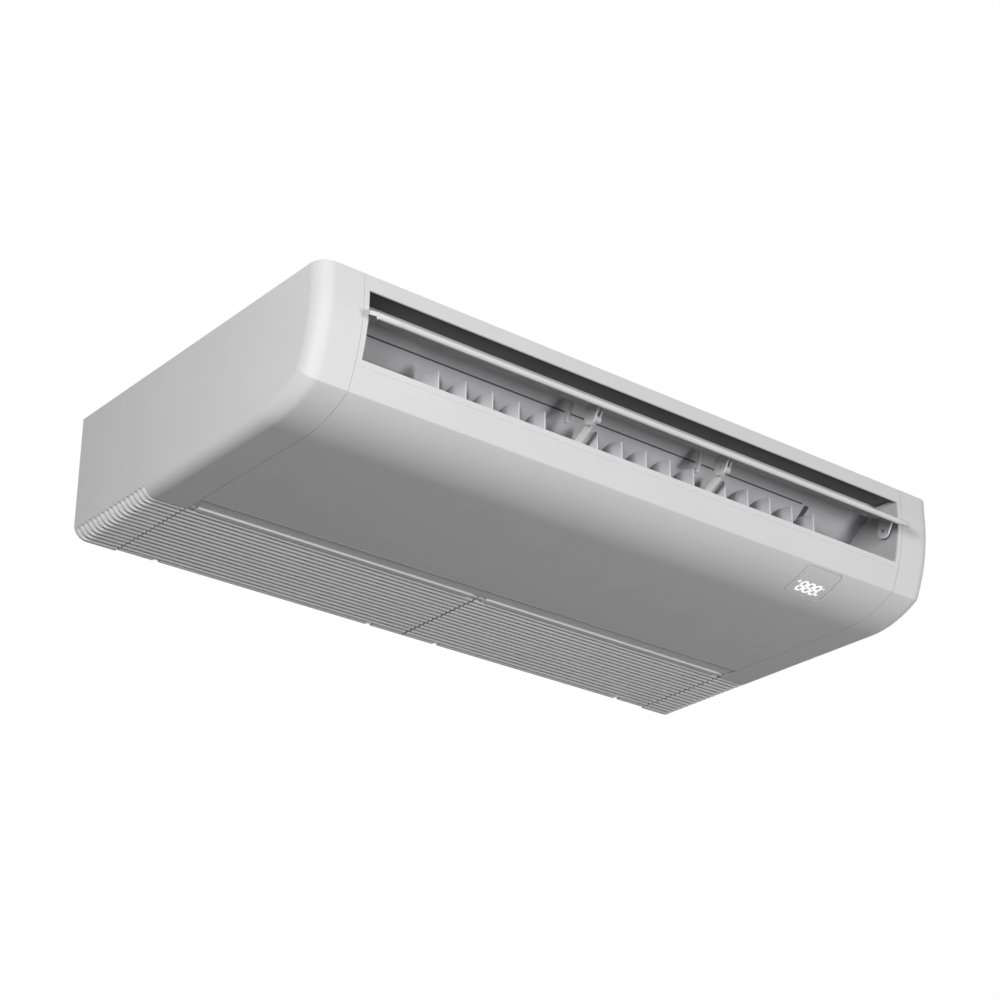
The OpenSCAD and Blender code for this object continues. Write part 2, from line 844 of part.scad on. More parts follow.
// Electrical box at the left end, with its lid below
module control_box() {
    wide = 82;
    long = 270;
    high = 130;
    color(zinc)
    translate([-plate_x + sheet_t + seat_gap, front_y + deck_d + 18, -sheet_t - seat_gap - high]) {
        difference() {
            cube([wide, long, high]);
            translate([sheet_t, sheet_t, -1]) cube([wide - 2 * sheet_t, long - 2 * sheet_t, high - sheet_t]);
            translate([wide / 2 - 12, long - 2 * sheet_t, high / 3]) rotate([-90, 0, 0])
                cylinder(r = cable_r, h = 3 * sheet_t);
        }
        translate([0, 0, -sheet_t]) cube([wide, long, sheet_t]);
    }
}

// Pipe from the coil end through the side plate, bent towards the rear to a bare full-size end
pipe_end_l = 36;
pipe_step = 0.5;

module bent_pipe(at, r, wall, x_bend, d_end) {
    bend_r = 3 * r;
    run_r = r - pipe_step;
    x0 = coil_w / 2 + seat_gap;
    y = front_y + at[0];
    difference() {
        union() {
            side_view(x0, x_bend) translate(at) circle(r = run_r);
            translate([x_bend, y + bend_r, at[1]]) rotate([0, 0, -90])
                rotate_extrude(angle = 90) translate([bend_r, 0]) circle(r = run_r);
            front_view(at[0] + bend_r, d_end - pipe_end_l)
                translate([x_bend + bend_r, at[1]]) circle(r = run_r);
            front_view(d_end - pipe_end_l, d_end) translate([x_bend + bend_r, at[1]]) circle(r = r);
        }
        front_view(d_end - 30, d_end + 1) translate([x_bend + bend_r, at[1]]) circle(r = r - wall);
    }
}

module flare_nut(x, z, d, r) {
    front_view(d, d + 2.2 * r) difference() {
        translate([x, z]) circle(r = 1.9 * r, $fn = 6);
        translate([x, z]) circle(r = r - pipe_step + 0.02);
    }
}

module refrigerant_pipes() {
    pipe_bend_x = plate_x + 16;
    pipe_end_d = 560;
    gas_nut_in = 60;
    liquid_nut_in = 53;
    color([0.72, 0.45, 0.3]) {
        bent_pipe(gas_at, gas_r, 1, pipe_bend_x, pipe_end_d);
        bent_pipe(liquid_at, liquid_r, 0.8, pipe_bend_x, pipe_end_d);
    }
    color([0.75, 0.65, 0.35]) {
        flare_nut(pipe_bend_x + 3 * gas_r, gas_at[1], pipe_end_d - gas_nut_in, gas_r);
        flare_nut(pipe_bend_x + 3 * liquid_r, liquid_at[1], pipe_end_d - liquid_nut_in, liquid_r);
    }
}

module drain_spout() {
    x_bend = plate_x + 14;
    bend_r = 26;
    end_d = 420;
    bore_l = 50;
    color([0.9, 0.9, 0.88]) difference() {
        union() {
            side_view(plate_x - sheet_t - seat_gap, x_bend) translate(spout_at) circle(r = spout_r);
            translate([x_bend, front_y + spout_at[0] + bend_r, spout_at[1]]) rotate([0, 0, -90])
                rotate_extrude(angle = 90) translate([bend_r, 0]) circle(r = spout_r);
            front_view(spout_at[0] + bend_r, end_d)
                translate([x_bend + bend_r, spout_at[1]]) circle(r = spout_r);
        }
        front_view(end_d - bore_l, end_d + 1)
            translate([x_bend + bend_r, spout_at[1]]) circle(r = spout_r - 2);
    }
}

module cover_screws() {
    out_x = seam_x - 35;
    mid_x = seam_x - 295;
    color([0.6, 0.6, 0.6]) for (x = [-out_x, -mid_x, 0, mid_x, out_x], z = [-14, 30 - body_h])
        translate([x, front_y + rear_in + sheet_t, z]) rotate([-90, 0, 0]) cylinder(r = 4.5, h = screw_head);
}

// Intake grille of the right half, hinged along its rear edge
grille_in = 1.5;
grille_out = seam_x - 2;
rail_z = -body_h + 7;
grille_up = -body_h + grille_t;

module rib_view(d) {
    r = rib_w / 2;
    translate([d + r, -body_h + r]) circle(r = r);
    span([d, -body_h + r], [d + rib_w, rail_z + 1]);
}

module intake_grille() {
    notch = lug_w + 2;
    rails = 6;
    color(white) difference() {
        union() {
            for (i = [0 : rib_count - 2]) side_view(grille_in, grille_out)
                rib_view(rib_start + rib_slot + i * rib_pitch);
            side_view(grille_in, grille_out) {
                translate([hinge_d, hinge_z]) circle(r = hinge_r);
                span([grille_d, -body_h], [rib_start, rail_z + 1]);
            }
            for (k = [0 : rails]) {
                x = grille_in + 2 + k * (grille_out - grille_in - 8) / rails;
                side_view(x, x + 4) span([grille_d, rail_z], [hinge_d, grille_up]);
            }
            for (d = [grille_d, grille_d + 104])
                side_view(grille_in + 2, grille_out - 2) span([d, rail_z], [d + 4, grille_up]);
        }
        for (x = lug_xs) side_view(x - notch / 2, x + notch / 2) difference() {
            span([hinge_d - lug_r - 0.8, -body_h - 1], [body_d + past, grille_up + 1]);
            translate([hinge_d, hinge_z]) circle(r = hinge_pin_r);
        }
    }
}

module intake_grille_right() {
    intake_grille();
}

module intake_grille_left() {
    mirror([1, 0, 0]) intake_grille();
}

module filter() {
    edge = 8;
    x0 = grille_in + 4;
    x1 = grille_out - 4;
    d0 = grille_d + 4;
    d1 = hinge_d - 14;
    z0 = grille_up;
    color([0.25, 0.26, 0.28]) difference() {
        side_view(x0, x1) span([d0, z0], [d1, z0 + filter_t]);
        for (k = [0 : 3], j = [0 : 1]) {
            w = (x1 - x0 - 5 * edge) / 4;
            l = (d1 - d0 - 3 * edge) / 2;
            translate([x0 + edge + k * (w + edge), front_y + d0 + edge + j * (l + edge), z0 + 1])
                cube([w, l, filter_t]);
        }
    }
}

module filter_right() {
    filter();
}

module filter_left() {
    mirror([1, 0, 0]) filter();
}

top_plate();
rear_plate();
side_plate_left();
side_plate_right();
hanging_brackets();
end_cap_left();
end_cap_right();
top_front_strip();
outlet_frame();
duct_roof();
duct_floor();
duct_sides();
fascia_panel();
display_window();
flap_strut_left();
flap_strut_right();
flap_motor();
vane_motors();
fan_deck();
fan_casing(0);  // fan_casing_1
fan_casing(1);  // fan_casing_2
fan_casing(2);  // fan_casing_3
fan_casing(3);  // fan_casing_4
fan_motor();
motor_bracket();
shaft_bearings();
evaporator_coil();
drain_pan();
control_box();
refrigerant_pipes();
drain_spout();
cover_screws();
flap();
vane(0);  // vane_1
vane(1);  // vane_2
vane(2);  // vane_3
vane(3);  // vane_4
vane(4);  // vane_5
vane(5);  // vane_6
vane(6);  // vane_7
vane(7);  // vane_8
vane(8);  // vane_9
vane(9);  // vane_10
vane(10);  // vane_11
vane(11);  // vane_12
vane(12);  // vane_13
vane(13);  // vane_14
vane(14);  // vane_15
vane_link_left();
vane_link_middle();
vane_link_right();
fan_shaft();
fan_wheel(0);  // fan_wheel_1
fan_wheel(1);  // fan_wheel_2
fan_wheel(2);  // fan_wheel_3
fan_wheel(3);  // fan_wheel_4
intake_grille_left();
intake_grille_right();
filter_left();
filter_right();
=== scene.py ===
# Floor-ceiling air conditioner, hung under a ceiling with its air flap open, seen from the front left.
import math

import bmesh
import bpy
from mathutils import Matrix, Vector


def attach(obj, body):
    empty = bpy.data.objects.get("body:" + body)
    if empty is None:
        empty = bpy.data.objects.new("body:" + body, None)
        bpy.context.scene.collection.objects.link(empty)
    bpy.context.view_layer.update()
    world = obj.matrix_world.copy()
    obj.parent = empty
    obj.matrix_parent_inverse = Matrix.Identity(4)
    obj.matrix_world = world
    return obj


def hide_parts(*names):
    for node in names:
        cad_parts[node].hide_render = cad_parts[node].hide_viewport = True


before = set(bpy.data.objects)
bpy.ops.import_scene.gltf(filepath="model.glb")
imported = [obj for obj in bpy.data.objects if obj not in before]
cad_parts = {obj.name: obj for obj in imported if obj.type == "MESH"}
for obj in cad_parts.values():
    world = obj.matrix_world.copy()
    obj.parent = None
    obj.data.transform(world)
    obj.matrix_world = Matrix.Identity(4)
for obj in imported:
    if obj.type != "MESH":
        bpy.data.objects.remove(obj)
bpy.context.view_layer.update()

# Camera at the height of someone standing below the unit, looking up at its left front corner.
camera_data = bpy.data.cameras.new("camera")
camera_data.sensor_width = 36.0
camera_data.lens = 83.85
camera = bpy.data.objects.new("camera", camera_data)
camera.location = (-2.3503, -2.8052, -1.7915)
camera.rotation_euler = (math.pi / 2 + 0.4391, -0.00216, -0.68802)
bpy.context.scene.collection.objects.link(camera)
bpy.context.scene.camera = camera
bpy.context.scene.view_settings.view_transform = "Standard"


# Steel chassis
# Folded galvanised sheet carries the unit: top, rear and side plates, the deck before the fans,
# the motor saddle and the electrical box. The sheet is cut, folded and spot welded.
def shader_group(name, inputs, outputs):
    """An empty node group with its sockets; gives the tree and its two ends."""
    tree = bpy.data.node_groups.new(name, "ShaderNodeTree")
    for label, kind, value in inputs:
        socket = tree.interface.new_socket(label, in_out="INPUT", socket_type=kind)
        socket.default_value = value
    for label, kind in outputs:
        tree.interface.new_socket(label, in_out="OUTPUT", socket_type=kind)
    return tree, tree.nodes.new("NodeGroupInput"), tree.nodes.new("NodeGroupOutput")


def put(tree, kind, links=(), **values):
    """Places one node, sets its values, where in_1 is its input 1, and links its inputs."""
    node = tree.nodes.new(kind)
    for key, value in values.items():
        if key.startswith("in_"):
            node.inputs[int(key[3:])].default_value = value
        else:
            setattr(node, key, value)
    for socket, source in links:
        tree.links.new(source, node.inputs[socket])
    return node


def ramp(tree, source, low, high, dark, light):
    """A two-stop colour ramp between two positions."""
    node = put(tree, "ShaderNodeValToRGB", [("Fac", source)])
    for stop, place, colour in zip(node.color_ramp.elements, (low, high), (dark, light)):
        stop.position = place
        stop.color = (*colour, 1.0)
    return node


def spangle_group():
    """Zinc crystals of a galvanised sheet: patches of tone and gloss with a faint rolling grain."""
    tree, given, out = shader_group(
        "zinc spangle",
        [("Colour", "NodeSocketColor", (0.6, 0.62, 0.64, 1)), ("Scale", "NodeSocketFloat", 70.0)],
        [("Colour", "NodeSocketColor"), ("Roughness", "NodeSocketFloat"), ("Normal", "NodeSocketVector")],
    )
    place = put(tree, "ShaderNodeTexCoord").outputs["Object"]
    cells = put(tree, "ShaderNodeTexVoronoi", [("Vector", place), ("Scale", given.outputs["Scale"])])
    grey = put(tree, "ShaderNodeRGBToBW", [("Color", cells.outputs["Color"])]).outputs[0]
    tone = ramp(tree, grey, 0.2, 0.8, (0.82,) * 3, (1.0,) * 3)
    mixed = put(tree, "ShaderNodeMix", data_type="RGBA", blend_type="MULTIPLY")
    mixed.inputs["Factor"].default_value = 1.0
    tree.links.new(given.outputs["Colour"], mixed.inputs[6])
    tree.links.new(tone.outputs[0], mixed.inputs[7])
    rough = put(tree, "ShaderNodeMapRange", [("Value", grey)])
    rough.inputs["To Min"].default_value, rough.inputs["To Max"].default_value = 0.28, 0.5
    grain = put(tree, "ShaderNodeTexNoise", [("Vector", place)])
    grain.inputs["Scale"].default_value = 600.0
    bump = put(tree, "ShaderNodeBump", [("Height", grain.outputs[0])])
    bump.inputs["Strength"].default_value, bump.inputs["Distance"].default_value = 0.15, 0.0002
    tree.links.new(mixed.outputs[2], out.inputs["Colour"])
    tree.links.new(rough.outputs[0], out.inputs["Roughness"])
    tree.links.new(bump.outputs[0], out.inputs["Normal"])
    return tree


def finish(name, group, metallic=0.0, coat=0.0, specular=0.5, **settings):
    """A material whose colour, gloss and relief come from a surface group."""
    material = bpy.data.materials.new(name)
    material.use_nodes = True
    tree = material.node_tree
    shader = tree.nodes["Principled BSDF"]
    surface = tree.nodes.new("ShaderNodeGroup")
    surface.node_tree = group
    for label, value in settings.items():
        surface.inputs[label.replace("_", " ")].default_value = value
    for label, socket in (("Colour", "Base Color"), ("Roughness", "Roughness"), ("Normal", "Normal")):
        tree.links.new(surface.outputs[label], shader.inputs[socket])
    shader.inputs["Metallic"].default_value = metallic
    shader.inputs["Coat Weight"].default_value = coat
    shader.inputs["Specular IOR Level"].default_value = specular
    return material


def dress(material, *names):
    """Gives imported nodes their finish."""
    for name in names:
        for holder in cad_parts[name].material_slots:
            holder.material = material


spangle = spangle_group()
galvanised = finish("galvanised sheet", spangle, metallic=0.85, Colour=(0.62, 0.64, 0.66, 1), Scale=60.0)
dress(galvanised, "top_plate", "rear_plate", "side_plate_left", "side_plate_right")
dress(galvanised, "fan_deck", "motor_bracket", "control_box")

# Hanging brackets and screws
# Two thick steel angles take the four suspension bolts. They are pressed, slotted and zinc plated
# like the casing screws, so their spangle is fine and even.
plated = finish("zinc plating", spangle, metallic=0.9, Colour=(0.70, 0.71, 0.73, 1), Scale=400.0)
dress(plated, "hanging_brackets", "cover_screws")


# Mouldings inside the air path
# Roof, floor and sides of the duct are injection moulded in light grey plastic with a fine matt
# grain, and snap in place. The link bars and the small motors are of a darker plastic.
def moulding_group():
    """Moulded plastic: fine grain, slow patches of gloss, a trace of dust in the tone."""
    tree, given, out = shader_group(
        "moulded plastic",
        [
            ("Colour", "NodeSocketColor", (0.8, 0.8, 0.8, 1)),
            ("Gloss", "NodeSocketFloat", 0.42),
            ("Grain", "NodeSocketFloat", 0.1),
            ("Mottle", "NodeSocketFloat", 0.03),
        ],
        [("Colour", "NodeSocketColor"), ("Roughness", "NodeSocketFloat"), ("Normal", "NodeSocketVector")],
    )
    place = put(tree, "ShaderNodeTexCoord").outputs["Object"]
    slow = put(tree, "ShaderNodeTexNoise", [("Vector", place)])
    slow.inputs["Scale"].default_value = 9.0
    slow.inputs["Detail"].default_value = 4.0
    fine = put(tree, "ShaderNodeTexNoise", [("Vector", place)])
    fine.inputs["Scale"].default_value = 1300.0
    darker = put(tree, "ShaderNodeMath", operation="SUBTRACT")
    darker.inputs[0].default_value = 1.0
    tree.links.new(given.outputs["Mottle"], darker.inputs[1])
    tone = put(tree, "ShaderNodeMapRange", [("Value", slow.outputs[0]), ("To Min", darker.outputs[0])])
    tone.inputs["From Min"].default_value, tone.inputs["From Max"].default_value = 0.3, 0.7
    tone.inputs["To Max"].default_value = 1.0
    shade = put(tree, "ShaderNodeVectorMath", operation="SCALE")
    tree.links.new(given.outputs["Colour"], shade.inputs[0])
    tree.links.new(tone.outputs[0], shade.inputs["Scale"])
    spread = put(tree, "ShaderNodeMapRange", [("Value", slow.outputs[0])])
    spread.inputs["To Min"].default_value, spread.inputs["To Max"].default_value = -0.05, 0.05
    rough = put(tree, "ShaderNodeMath", operation="ADD")
    tree.links.new(given.outputs["Gloss"], rough.inputs[0])
    tree.links.new(spread.outputs[0], rough.inputs[1])
    bump = put(tree, "ShaderNodeBump", [("Height", fine.outputs[0]), ("Strength", given.outputs["Grain"])])
    bump.inputs["Distance"].default_value = 0.0002
    tree.links.new(shade.outputs[0], out.inputs["Colour"])
    tree.links.new(rough.outputs[0], out.inputs["Roughness"])
    tree.links.new(bump.outputs[0], out.inputs["Normal"])
    return tree


moulding = moulding_group()
lining = finish(
    "duct lining plastic", moulding, specular=0.05, Colour=(0.56, 0.56, 0.57, 1), Gloss=0.5, Grain=0.15,
)
dress(lining, "duct_roof", "duct_floor", "duct_sides")
link_plastic = finish("link plastic", moulding, Colour=(0.3, 0.3, 0.31, 1), Gloss=0.45, Grain=0.1)
dress(link_plastic, "vane_link_left", "vane_link_middle", "vane_link_right", "vane_motors", "flap_motor")

# Fans
# Four forward-curved wheels on one plated shaft, each in a spiral casing, driven from the middle.
# Wheels and casings are moulded in dark plastic; the motor is painted steel.
dress(plated, "fan_shaft")
fan_plastic = finish("fan plastic", moulding, Colour=(0.05, 0.052, 0.056, 1), Gloss=0.4, Grain=0.2)
dress(fan_plastic, "fan_wheel_1", "fan_wheel_2", "fan_wheel_3", "fan_wheel_4", "shaft_bearings")
casing_plastic = finish("casing plastic", moulding, Colour=(0.13, 0.135, 0.14, 1), Gloss=0.5, Grain=0.2)
dress(casing_plastic, "fan_casing_1", "fan_casing_2", "fan_casing_3", "fan_casing_4")
motor_paint = finish("motor paint", moulding, Colour=(0.07, 0.072, 0.075, 1), Gloss=0.35, Grain=0.4)
dress(motor_paint, "fan_motor")


# Coil and water
# A finned aluminium coil lies over a foamed drain pan, with a moulded spout at the pan's end.
# Two copper pipes with flare nuts are brazed to the coil.
def lined_group():
    """Fine raised lines across a surface, and along it too where Both is one, with painted shade in the gaps
    between them.
    """
    tree, given, out = shader_group(
        "fine lines",
        [
            ("Colour", "NodeSocketColor", (0.7, 0.7, 0.7, 1)),
            ("Gap", "NodeSocketColor", (0.1, 0.1, 0.1, 1)),
            ("Lines", "NodeSocketFloat", 600.0),
            ("Both", "NodeSocketFloat", 0.0),
            ("Gloss", "NodeSocketFloat", 0.35),
        ],
        [("Colour", "NodeSocketColor"), ("Roughness", "NodeSocketFloat"), ("Normal", "NodeSocketVector")],
    )
    place = put(tree, "ShaderNodeTexCoord").outputs["Object"]
    parts = put(tree, "ShaderNodeSeparateXYZ", [("Vector", place)])
    waves = []
    for axis in ("X", "Y"):
        along = put(tree, "ShaderNodeMath", operation="MULTIPLY")
        tree.links.new(parts.outputs[axis], along.inputs[0])
        tree.links.new(given.outputs["Lines"], along.inputs[1])
        sawed = put(tree, "ShaderNodeMath", [(0, along.outputs[0])], operation="PINGPONG", in_1=0.5)
        waves.append(sawed.outputs[0])
    second = put(tree, "ShaderNodeMath", [(0, waves[1]), (1, given.outputs["Both"])], operation="MULTIPLY")
    tallest = put(tree, "ShaderNodeMath", [(0, waves[0]), (1, second.outputs[0])], operation="MAXIMUM")
    mask = put(tree, "ShaderNodeMapRange", [("Value", tallest.outputs[0])])
    mask.inputs["From Min"].default_value, mask.inputs["From Max"].default_value = 0.26, 0.34
    # The gap colour between the lines is painted shade.
    mixed = put(tree, "ShaderNodeMix", data_type="RGBA")
    tree.links.new(mask.outputs[0], mixed.inputs["Factor"])
    tree.links.new(given.outputs["Gap"], mixed.inputs[6])
    tree.links.new(given.outputs["Colour"], mixed.inputs[7])
    bump = put(tree, "ShaderNodeBump", [("Height", mask.outputs[0])])
    bump.inputs["Strength"].default_value, bump.inputs["Distance"].default_value = 0.6, 0.0006
    tree.links.new(mixed.outputs[2], out.inputs["Colour"])
    tree.links.new(given.outputs["Gloss"], out.inputs["Roughness"])
    tree.links.new(bump.outputs[0], out.inputs["Normal"])
    return tree


lines = lined_group()
# The dark gaps between the fins are painted shade.
fins = finish(
    "aluminium fins", lines, metallic=0.7,
    Colour=(0.74, 0.75, 0.76, 1), Gap=(0.12, 0.12, 0.12, 1), Lines=620.0,
)
dress(fins, "evaporator_coil")
pan_foam = finish(
    "drain pan foam", moulding, Colour=(0.75, 0.75, 0.73, 1), Gloss=0.85, Grain=0.7, Mottle=0.12,
)
dress(pan_foam, "drain_pan")
copper = finish("copper tube", moulding, metallic=1.0, Colour=(0.75, 0.36, 0.22, 1), Gloss=0.3, Mottle=0.25)
dress(copper, "refrigerant_pipes")
spout_plastic = finish("spout plastic", moulding, Colour=(0.7, 0.7, 0.68, 1), Gloss=0.4)
dress(spout_plastic, "drain_spout")

# Front strip and outlet frame
# A long strip closes the front above the outlet, and a frame with a narrow lip borders the mouth.
# Both are moulded in the white shell plastic, with a satin face.
shell = finish(
    "white shell plastic", moulding, specular=0.04, Colour=(0.77, 0.77, 0.77, 1), Gloss=0.42, Grain=0.06,
)
dress(shell, "top_front_strip", "outlet_frame")

# Flap and its struts
# The long blade turns on pins in two struts and in the motor at the right. It is one white moulding
# with a thick rounded nose, end pieces, ears, slim arms and levers, drawn closed and turned open.
BODY_HALF_DEPTH, FRONT_FLAT, FRONT_RADIUS = 345.0, 40.0, 330.0
FLAP_D, FLAP_Z, FLAP_OPEN = 30.0, -75.0, math.radians(70)
FLAP_END, FLAP_MIDDLE, FLAP_LOW, FLAP_TOP = 583.4, 545.0, -137.2, -29.2
END_PROUD, END_RISE, EDGE_SOFT = 1.0, 6.5, 1.0
NOSE_THICK, NOSE_HIGH, NOSE_OUTER, NOSE_INNER = 10.0, 9.0, 1.8, 8.0
BAND_THICK, BAND_FILLET, MARGIN_THICK, MARGIN_FILLET = 6.5, 0.8, 3.0, 0.6
PIVOT, PIN_HOLE, STRUT_PLACES = (FLAP_D, FLAP_Z), 3.3, (-105.0, 187.0)
EAR_R, EAR_FOOT_D, EAR_FOOT_HALF, EAR_THICK, EAR_ASIDE = 14.0, 7.5, 8.0, 2.5, 16.0
END_EARS = (-578.9, 576.4)
ARM_R, ARM_ASIDE, ARM_THICK = 6.5, 0.3, 3.0
LEVER_TIP, LEVER_R, LEVER_HOLE, LEVER_ASIDE, LEVER_THICK = (38.5, FLAP_Z + 40), 5.2, 2.0, 34.0, 6.0


def at(x, d, z):
    """A point from millimetres across, behind the front plane and above the top plane."""
    return Vector((x / 1000, (d - BODY_HALF_DEPTH) / 1000, z / 1000))


def opened(x, d, z):
    """A point of the closed flap, turned with it to its open rest pose."""
    y, w = d - FLAP_D, z - FLAP_Z
    turned_d = FLAP_D + y * math.cos(FLAP_OPEN) + w * math.sin(FLAP_OPEN)
    return at(x, turned_d, FLAP_Z - y * math.sin(FLAP_OPEN) + w * math.cos(FLAP_OPEN))


def front_face(inset, z):
    """Depth of the front of the unit at a height, for a face moved inwards."""
    if z > -FRONT_FLAT:
        return inset
    return FRONT_RADIUS - math.sqrt((FRONT_RADIUS - inset) ** 2 - (z + FRONT_FLAT) ** 2)


def solid_from(name, form, body, material):
    """Turns a bmesh into a smooth piece that rides on a body."""
    bmesh.ops.recalc_face_normals(form, faces=form.faces)
    mesh = bpy.data.meshes.new(name)
    form.to_mesh(mesh)
    form.free()
    mesh.shade_smooth()
    mesh.set_sharp_from_angle(angle=math.radians(32))
    mesh.materials.append(material)
    piece = bpy.data.objects.new(name, mesh)
    bpy.context.scene.collection.objects.link(piece)
    if body:
        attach(piece, body)
    return piece


def joined_rings(form, rings, capped=True):
    """Walls between closed rings of points, with a face on each end or joined round to the first."""
    made = [[form.verts.new(point) for point in ring] for ring in rings]
    pairs = zip(made, made[1:]) if capped else zip(made, made[1:] + made[:1])
    for ring, following in pairs:
        for k in range(len(ring)):
            form.faces.new((ring[k], ring[k - 1], following[k - 1], following[k]))
    if capped:
        form.faces.new(made[0])
        form.faces.new(made[-1])


def arc(d, z, radius, start, end, steps):
    """Points on an arc in side view, angles in degrees from the rear towards the top."""
    turns = [math.radians(start + (end - start) * k / steps) for k in range(steps + 1)]
    return [(d + radius * math.cos(turn), z + radius * math.sin(turn)) for turn in turns]


def shrunk(outline, centre, amount):
    """An outline drawn in towards a centre by a fixed amount."""
    moved = []
    for d, z in outline:
        far = math.hypot(d - centre[0], z - centre[1])
        share = 1 - amount / far
        moved.append((centre[0] + (d - centre[0]) * share, centre[1] + (z - centre[1]) * share))
    return moved


def pierced_plate(form, outline, centre, hole, x0, thick, rim=0.0, boss=0.0):
    """An upright plate of the flap with a round hole, and a rim or a boss standing proud."""
    middle, half = x0 + thick / 2, thick / 2
    round_hole = []
    for d, z in outline:
        turn = math.atan2(z - centre[1], d - centre[0])
        round_hole.append((math.cos(turn), math.sin(turn)))

    def ring(radius):
        return [(centre[0] + radius * c, centre[1] + radius * s) for c, s in round_hole]

    loops = [(shrunk(outline, centre, 0.5), half + rim), (outline, half + rim - 0.5)]
    if rim:
        loops = [(shrunk(outline, centre, 2.0), half), (shrunk(outline, centre, 1.6), half + rim)] + loops
    if boss:
        loops = [(ring(hole + 2.4), half + boss), (ring(hole + 2.6), half)] + loops
    loops = [(ring(hole), half + boss)] + loops
    both = [(loop, middle + out) for loop, out in loops]
    both += [(loop, middle - out) for loop, out in reversed(loops)]
    joined_rings(form, [[opened(x, d, z) for d, z in loop] for loop, x in both], capped=False)


def blade_section(x):
    """Side outline of the closed blade; the ends stand a little proud and their corners run up."""
    beyond = max(0.0, abs(x) - FLAP_MIDDLE)
    low = FLAP_LOW + (0.0 if beyond else END_PROUD)
    low += END_RISE * (beyond / (FLAP_END - FLAP_MIDDLE)) ** 2
    step, back = low + NOSE_HIGH, FLAP_TOP - NOSE_HIGH
    face_long, band_long = FLAP_TOP - 3 * EDGE_SOFT - low, back - 2 * BAND_FILLET - step
    outline = [(0, FLAP_TOP - EDGE_SOFT - face_long * k / 24) for k in range(24)]
    turns = [k * math.pi / 16 for k in range(9)]
    for turn in turns:
        outline.append((NOSE_OUTER * (1 - math.cos(turn)), low + NOSE_OUTER * (1 - math.sin(turn))))
    for turn in turns:
        inset = NOSE_THICK - NOSE_INNER * (1 - math.sin(turn))
        outline.append((inset, low + NOSE_INNER * (1 - math.cos(turn))))
    outline += [(NOSE_THICK, step - EDGE_SOFT), (NOSE_THICK - EDGE_SOFT, step)]
    outline += [(BAND_THICK + BAND_FILLET, step), (BAND_THICK, step + BAND_FILLET)]
    outline += [(BAND_THICK, step + BAND_FILLET + band_long * k / 18) for k in range(1, 19)]
    outline += [(BAND_THICK - BAND_FILLET, back), (MARGIN_THICK + MARGIN_FILLET, back)]
    outline += [(MARGIN_THICK, back + MARGIN_FILLET), (MARGIN_THICK, FLAP_TOP - EDGE_SOFT)]
    outline += [(MARGIN_THICK - EDGE_SOFT, FLAP_TOP), (EDGE_SOFT, FLAP_TOP)]
    return [opened(x, front_face(inset, z), z) for inset, z in outline]


form = bmesh.new()
end_stations = [FLAP_MIDDLE + 0.2, 550, 555, 560, 565, 570, 575, 579, 582, FLAP_END]
middle_stations = [-FLAP_MIDDLE, -400, -250, -100, 50, 200, 350, FLAP_MIDDLE]
stations = [-x for x in reversed(end_stations)] + middle_stations + end_stations
joined_rings(form, [blade_section(x) for x in stations])

flare = [(26 - 5 * k, EAR_R + 0.4 + 0.7 * k) for k in range(4)]
foot = [(EAR_FOOT_D, EAR_FOOT_HALF * (1 - k / 2)) for k in range(5)]
ear = arc(*PIVOT, EAR_R, -90, 90, 16)
ear += [(d, FLAP_Z + z) for d, z in flare + foot + [(d, -z) for d, z in reversed(flare)]]
arm = arc(*PIVOT, ARM_R, -80, 100, 12)
arm += [(24, FLAP_Z + 2.4), (16, FLAP_Z - 0.6), (8, FLAP_Z - 3.4)]
arm += [(8, FLAP_Z - 8.4), (16, FLAP_Z - 6.2), (24, FLAP_Z - 4.9)]
lever = arc(*LEVER_TIP, LEVER_R, -90, 90, 12)
lever += [(29 - 8 * k, LEVER_TIP[1] + 4.6) for k in range(4)]
lever += [(5 + 8 * k, LEVER_TIP[1] - 6.5 + 0.4 * k) for k in range(4)]
for x in END_EARS:
    pierced_plate(form, ear, PIVOT, PIN_HOLE, x, EAR_THICK, rim=0.6, boss=0.8)
for x in STRUT_PLACES:
    pierced_plate(form, ear, PIVOT, PIN_HOLE, x - EAR_ASIDE, EAR_THICK, rim=0.5)
    pierced_plate(form, arm, PIVOT, PIN_HOLE, x + ARM_ASIDE, ARM_THICK, boss=0.9)
    pierced_plate(form, lever, LEVER_TIP, LEVER_HOLE, x - LEVER_ASIDE, LEVER_THICK)
flap = solid_from("flap_blade", form, "flap", shell)
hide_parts("flap")
dress(shell, "flap_strut_left", "flap_strut_right")

# Vanes
# Each vane is a thin upright sail on a pin, rounded over the top and thicker along its front edge.
# The sail is moulded over the pin's blade, and links couple five of them.
VANE_D, VANE_LOW, VANE_TIP, VANE_LONG, VANE_HALF = 60.0, -147.0, -77.0, 52.0, 1.15
VANE_BULGE, VANE_EDGE, VANE_EDGE_IN, VANE_PITCH = 7.0, 1.7, 1.2, 54.0
VANE_GROUPS = (-298.0, 30.0, 320.0)
vane_plastic = finish(
    "vane plastic", moulding, specular=0.1, Colour=(0.72, 0.72, 0.73, 1), Gloss=0.4, Grain=0.1,
)
dress(vane_plastic, *(f"vane_{number}" for number in range(1, 16)))


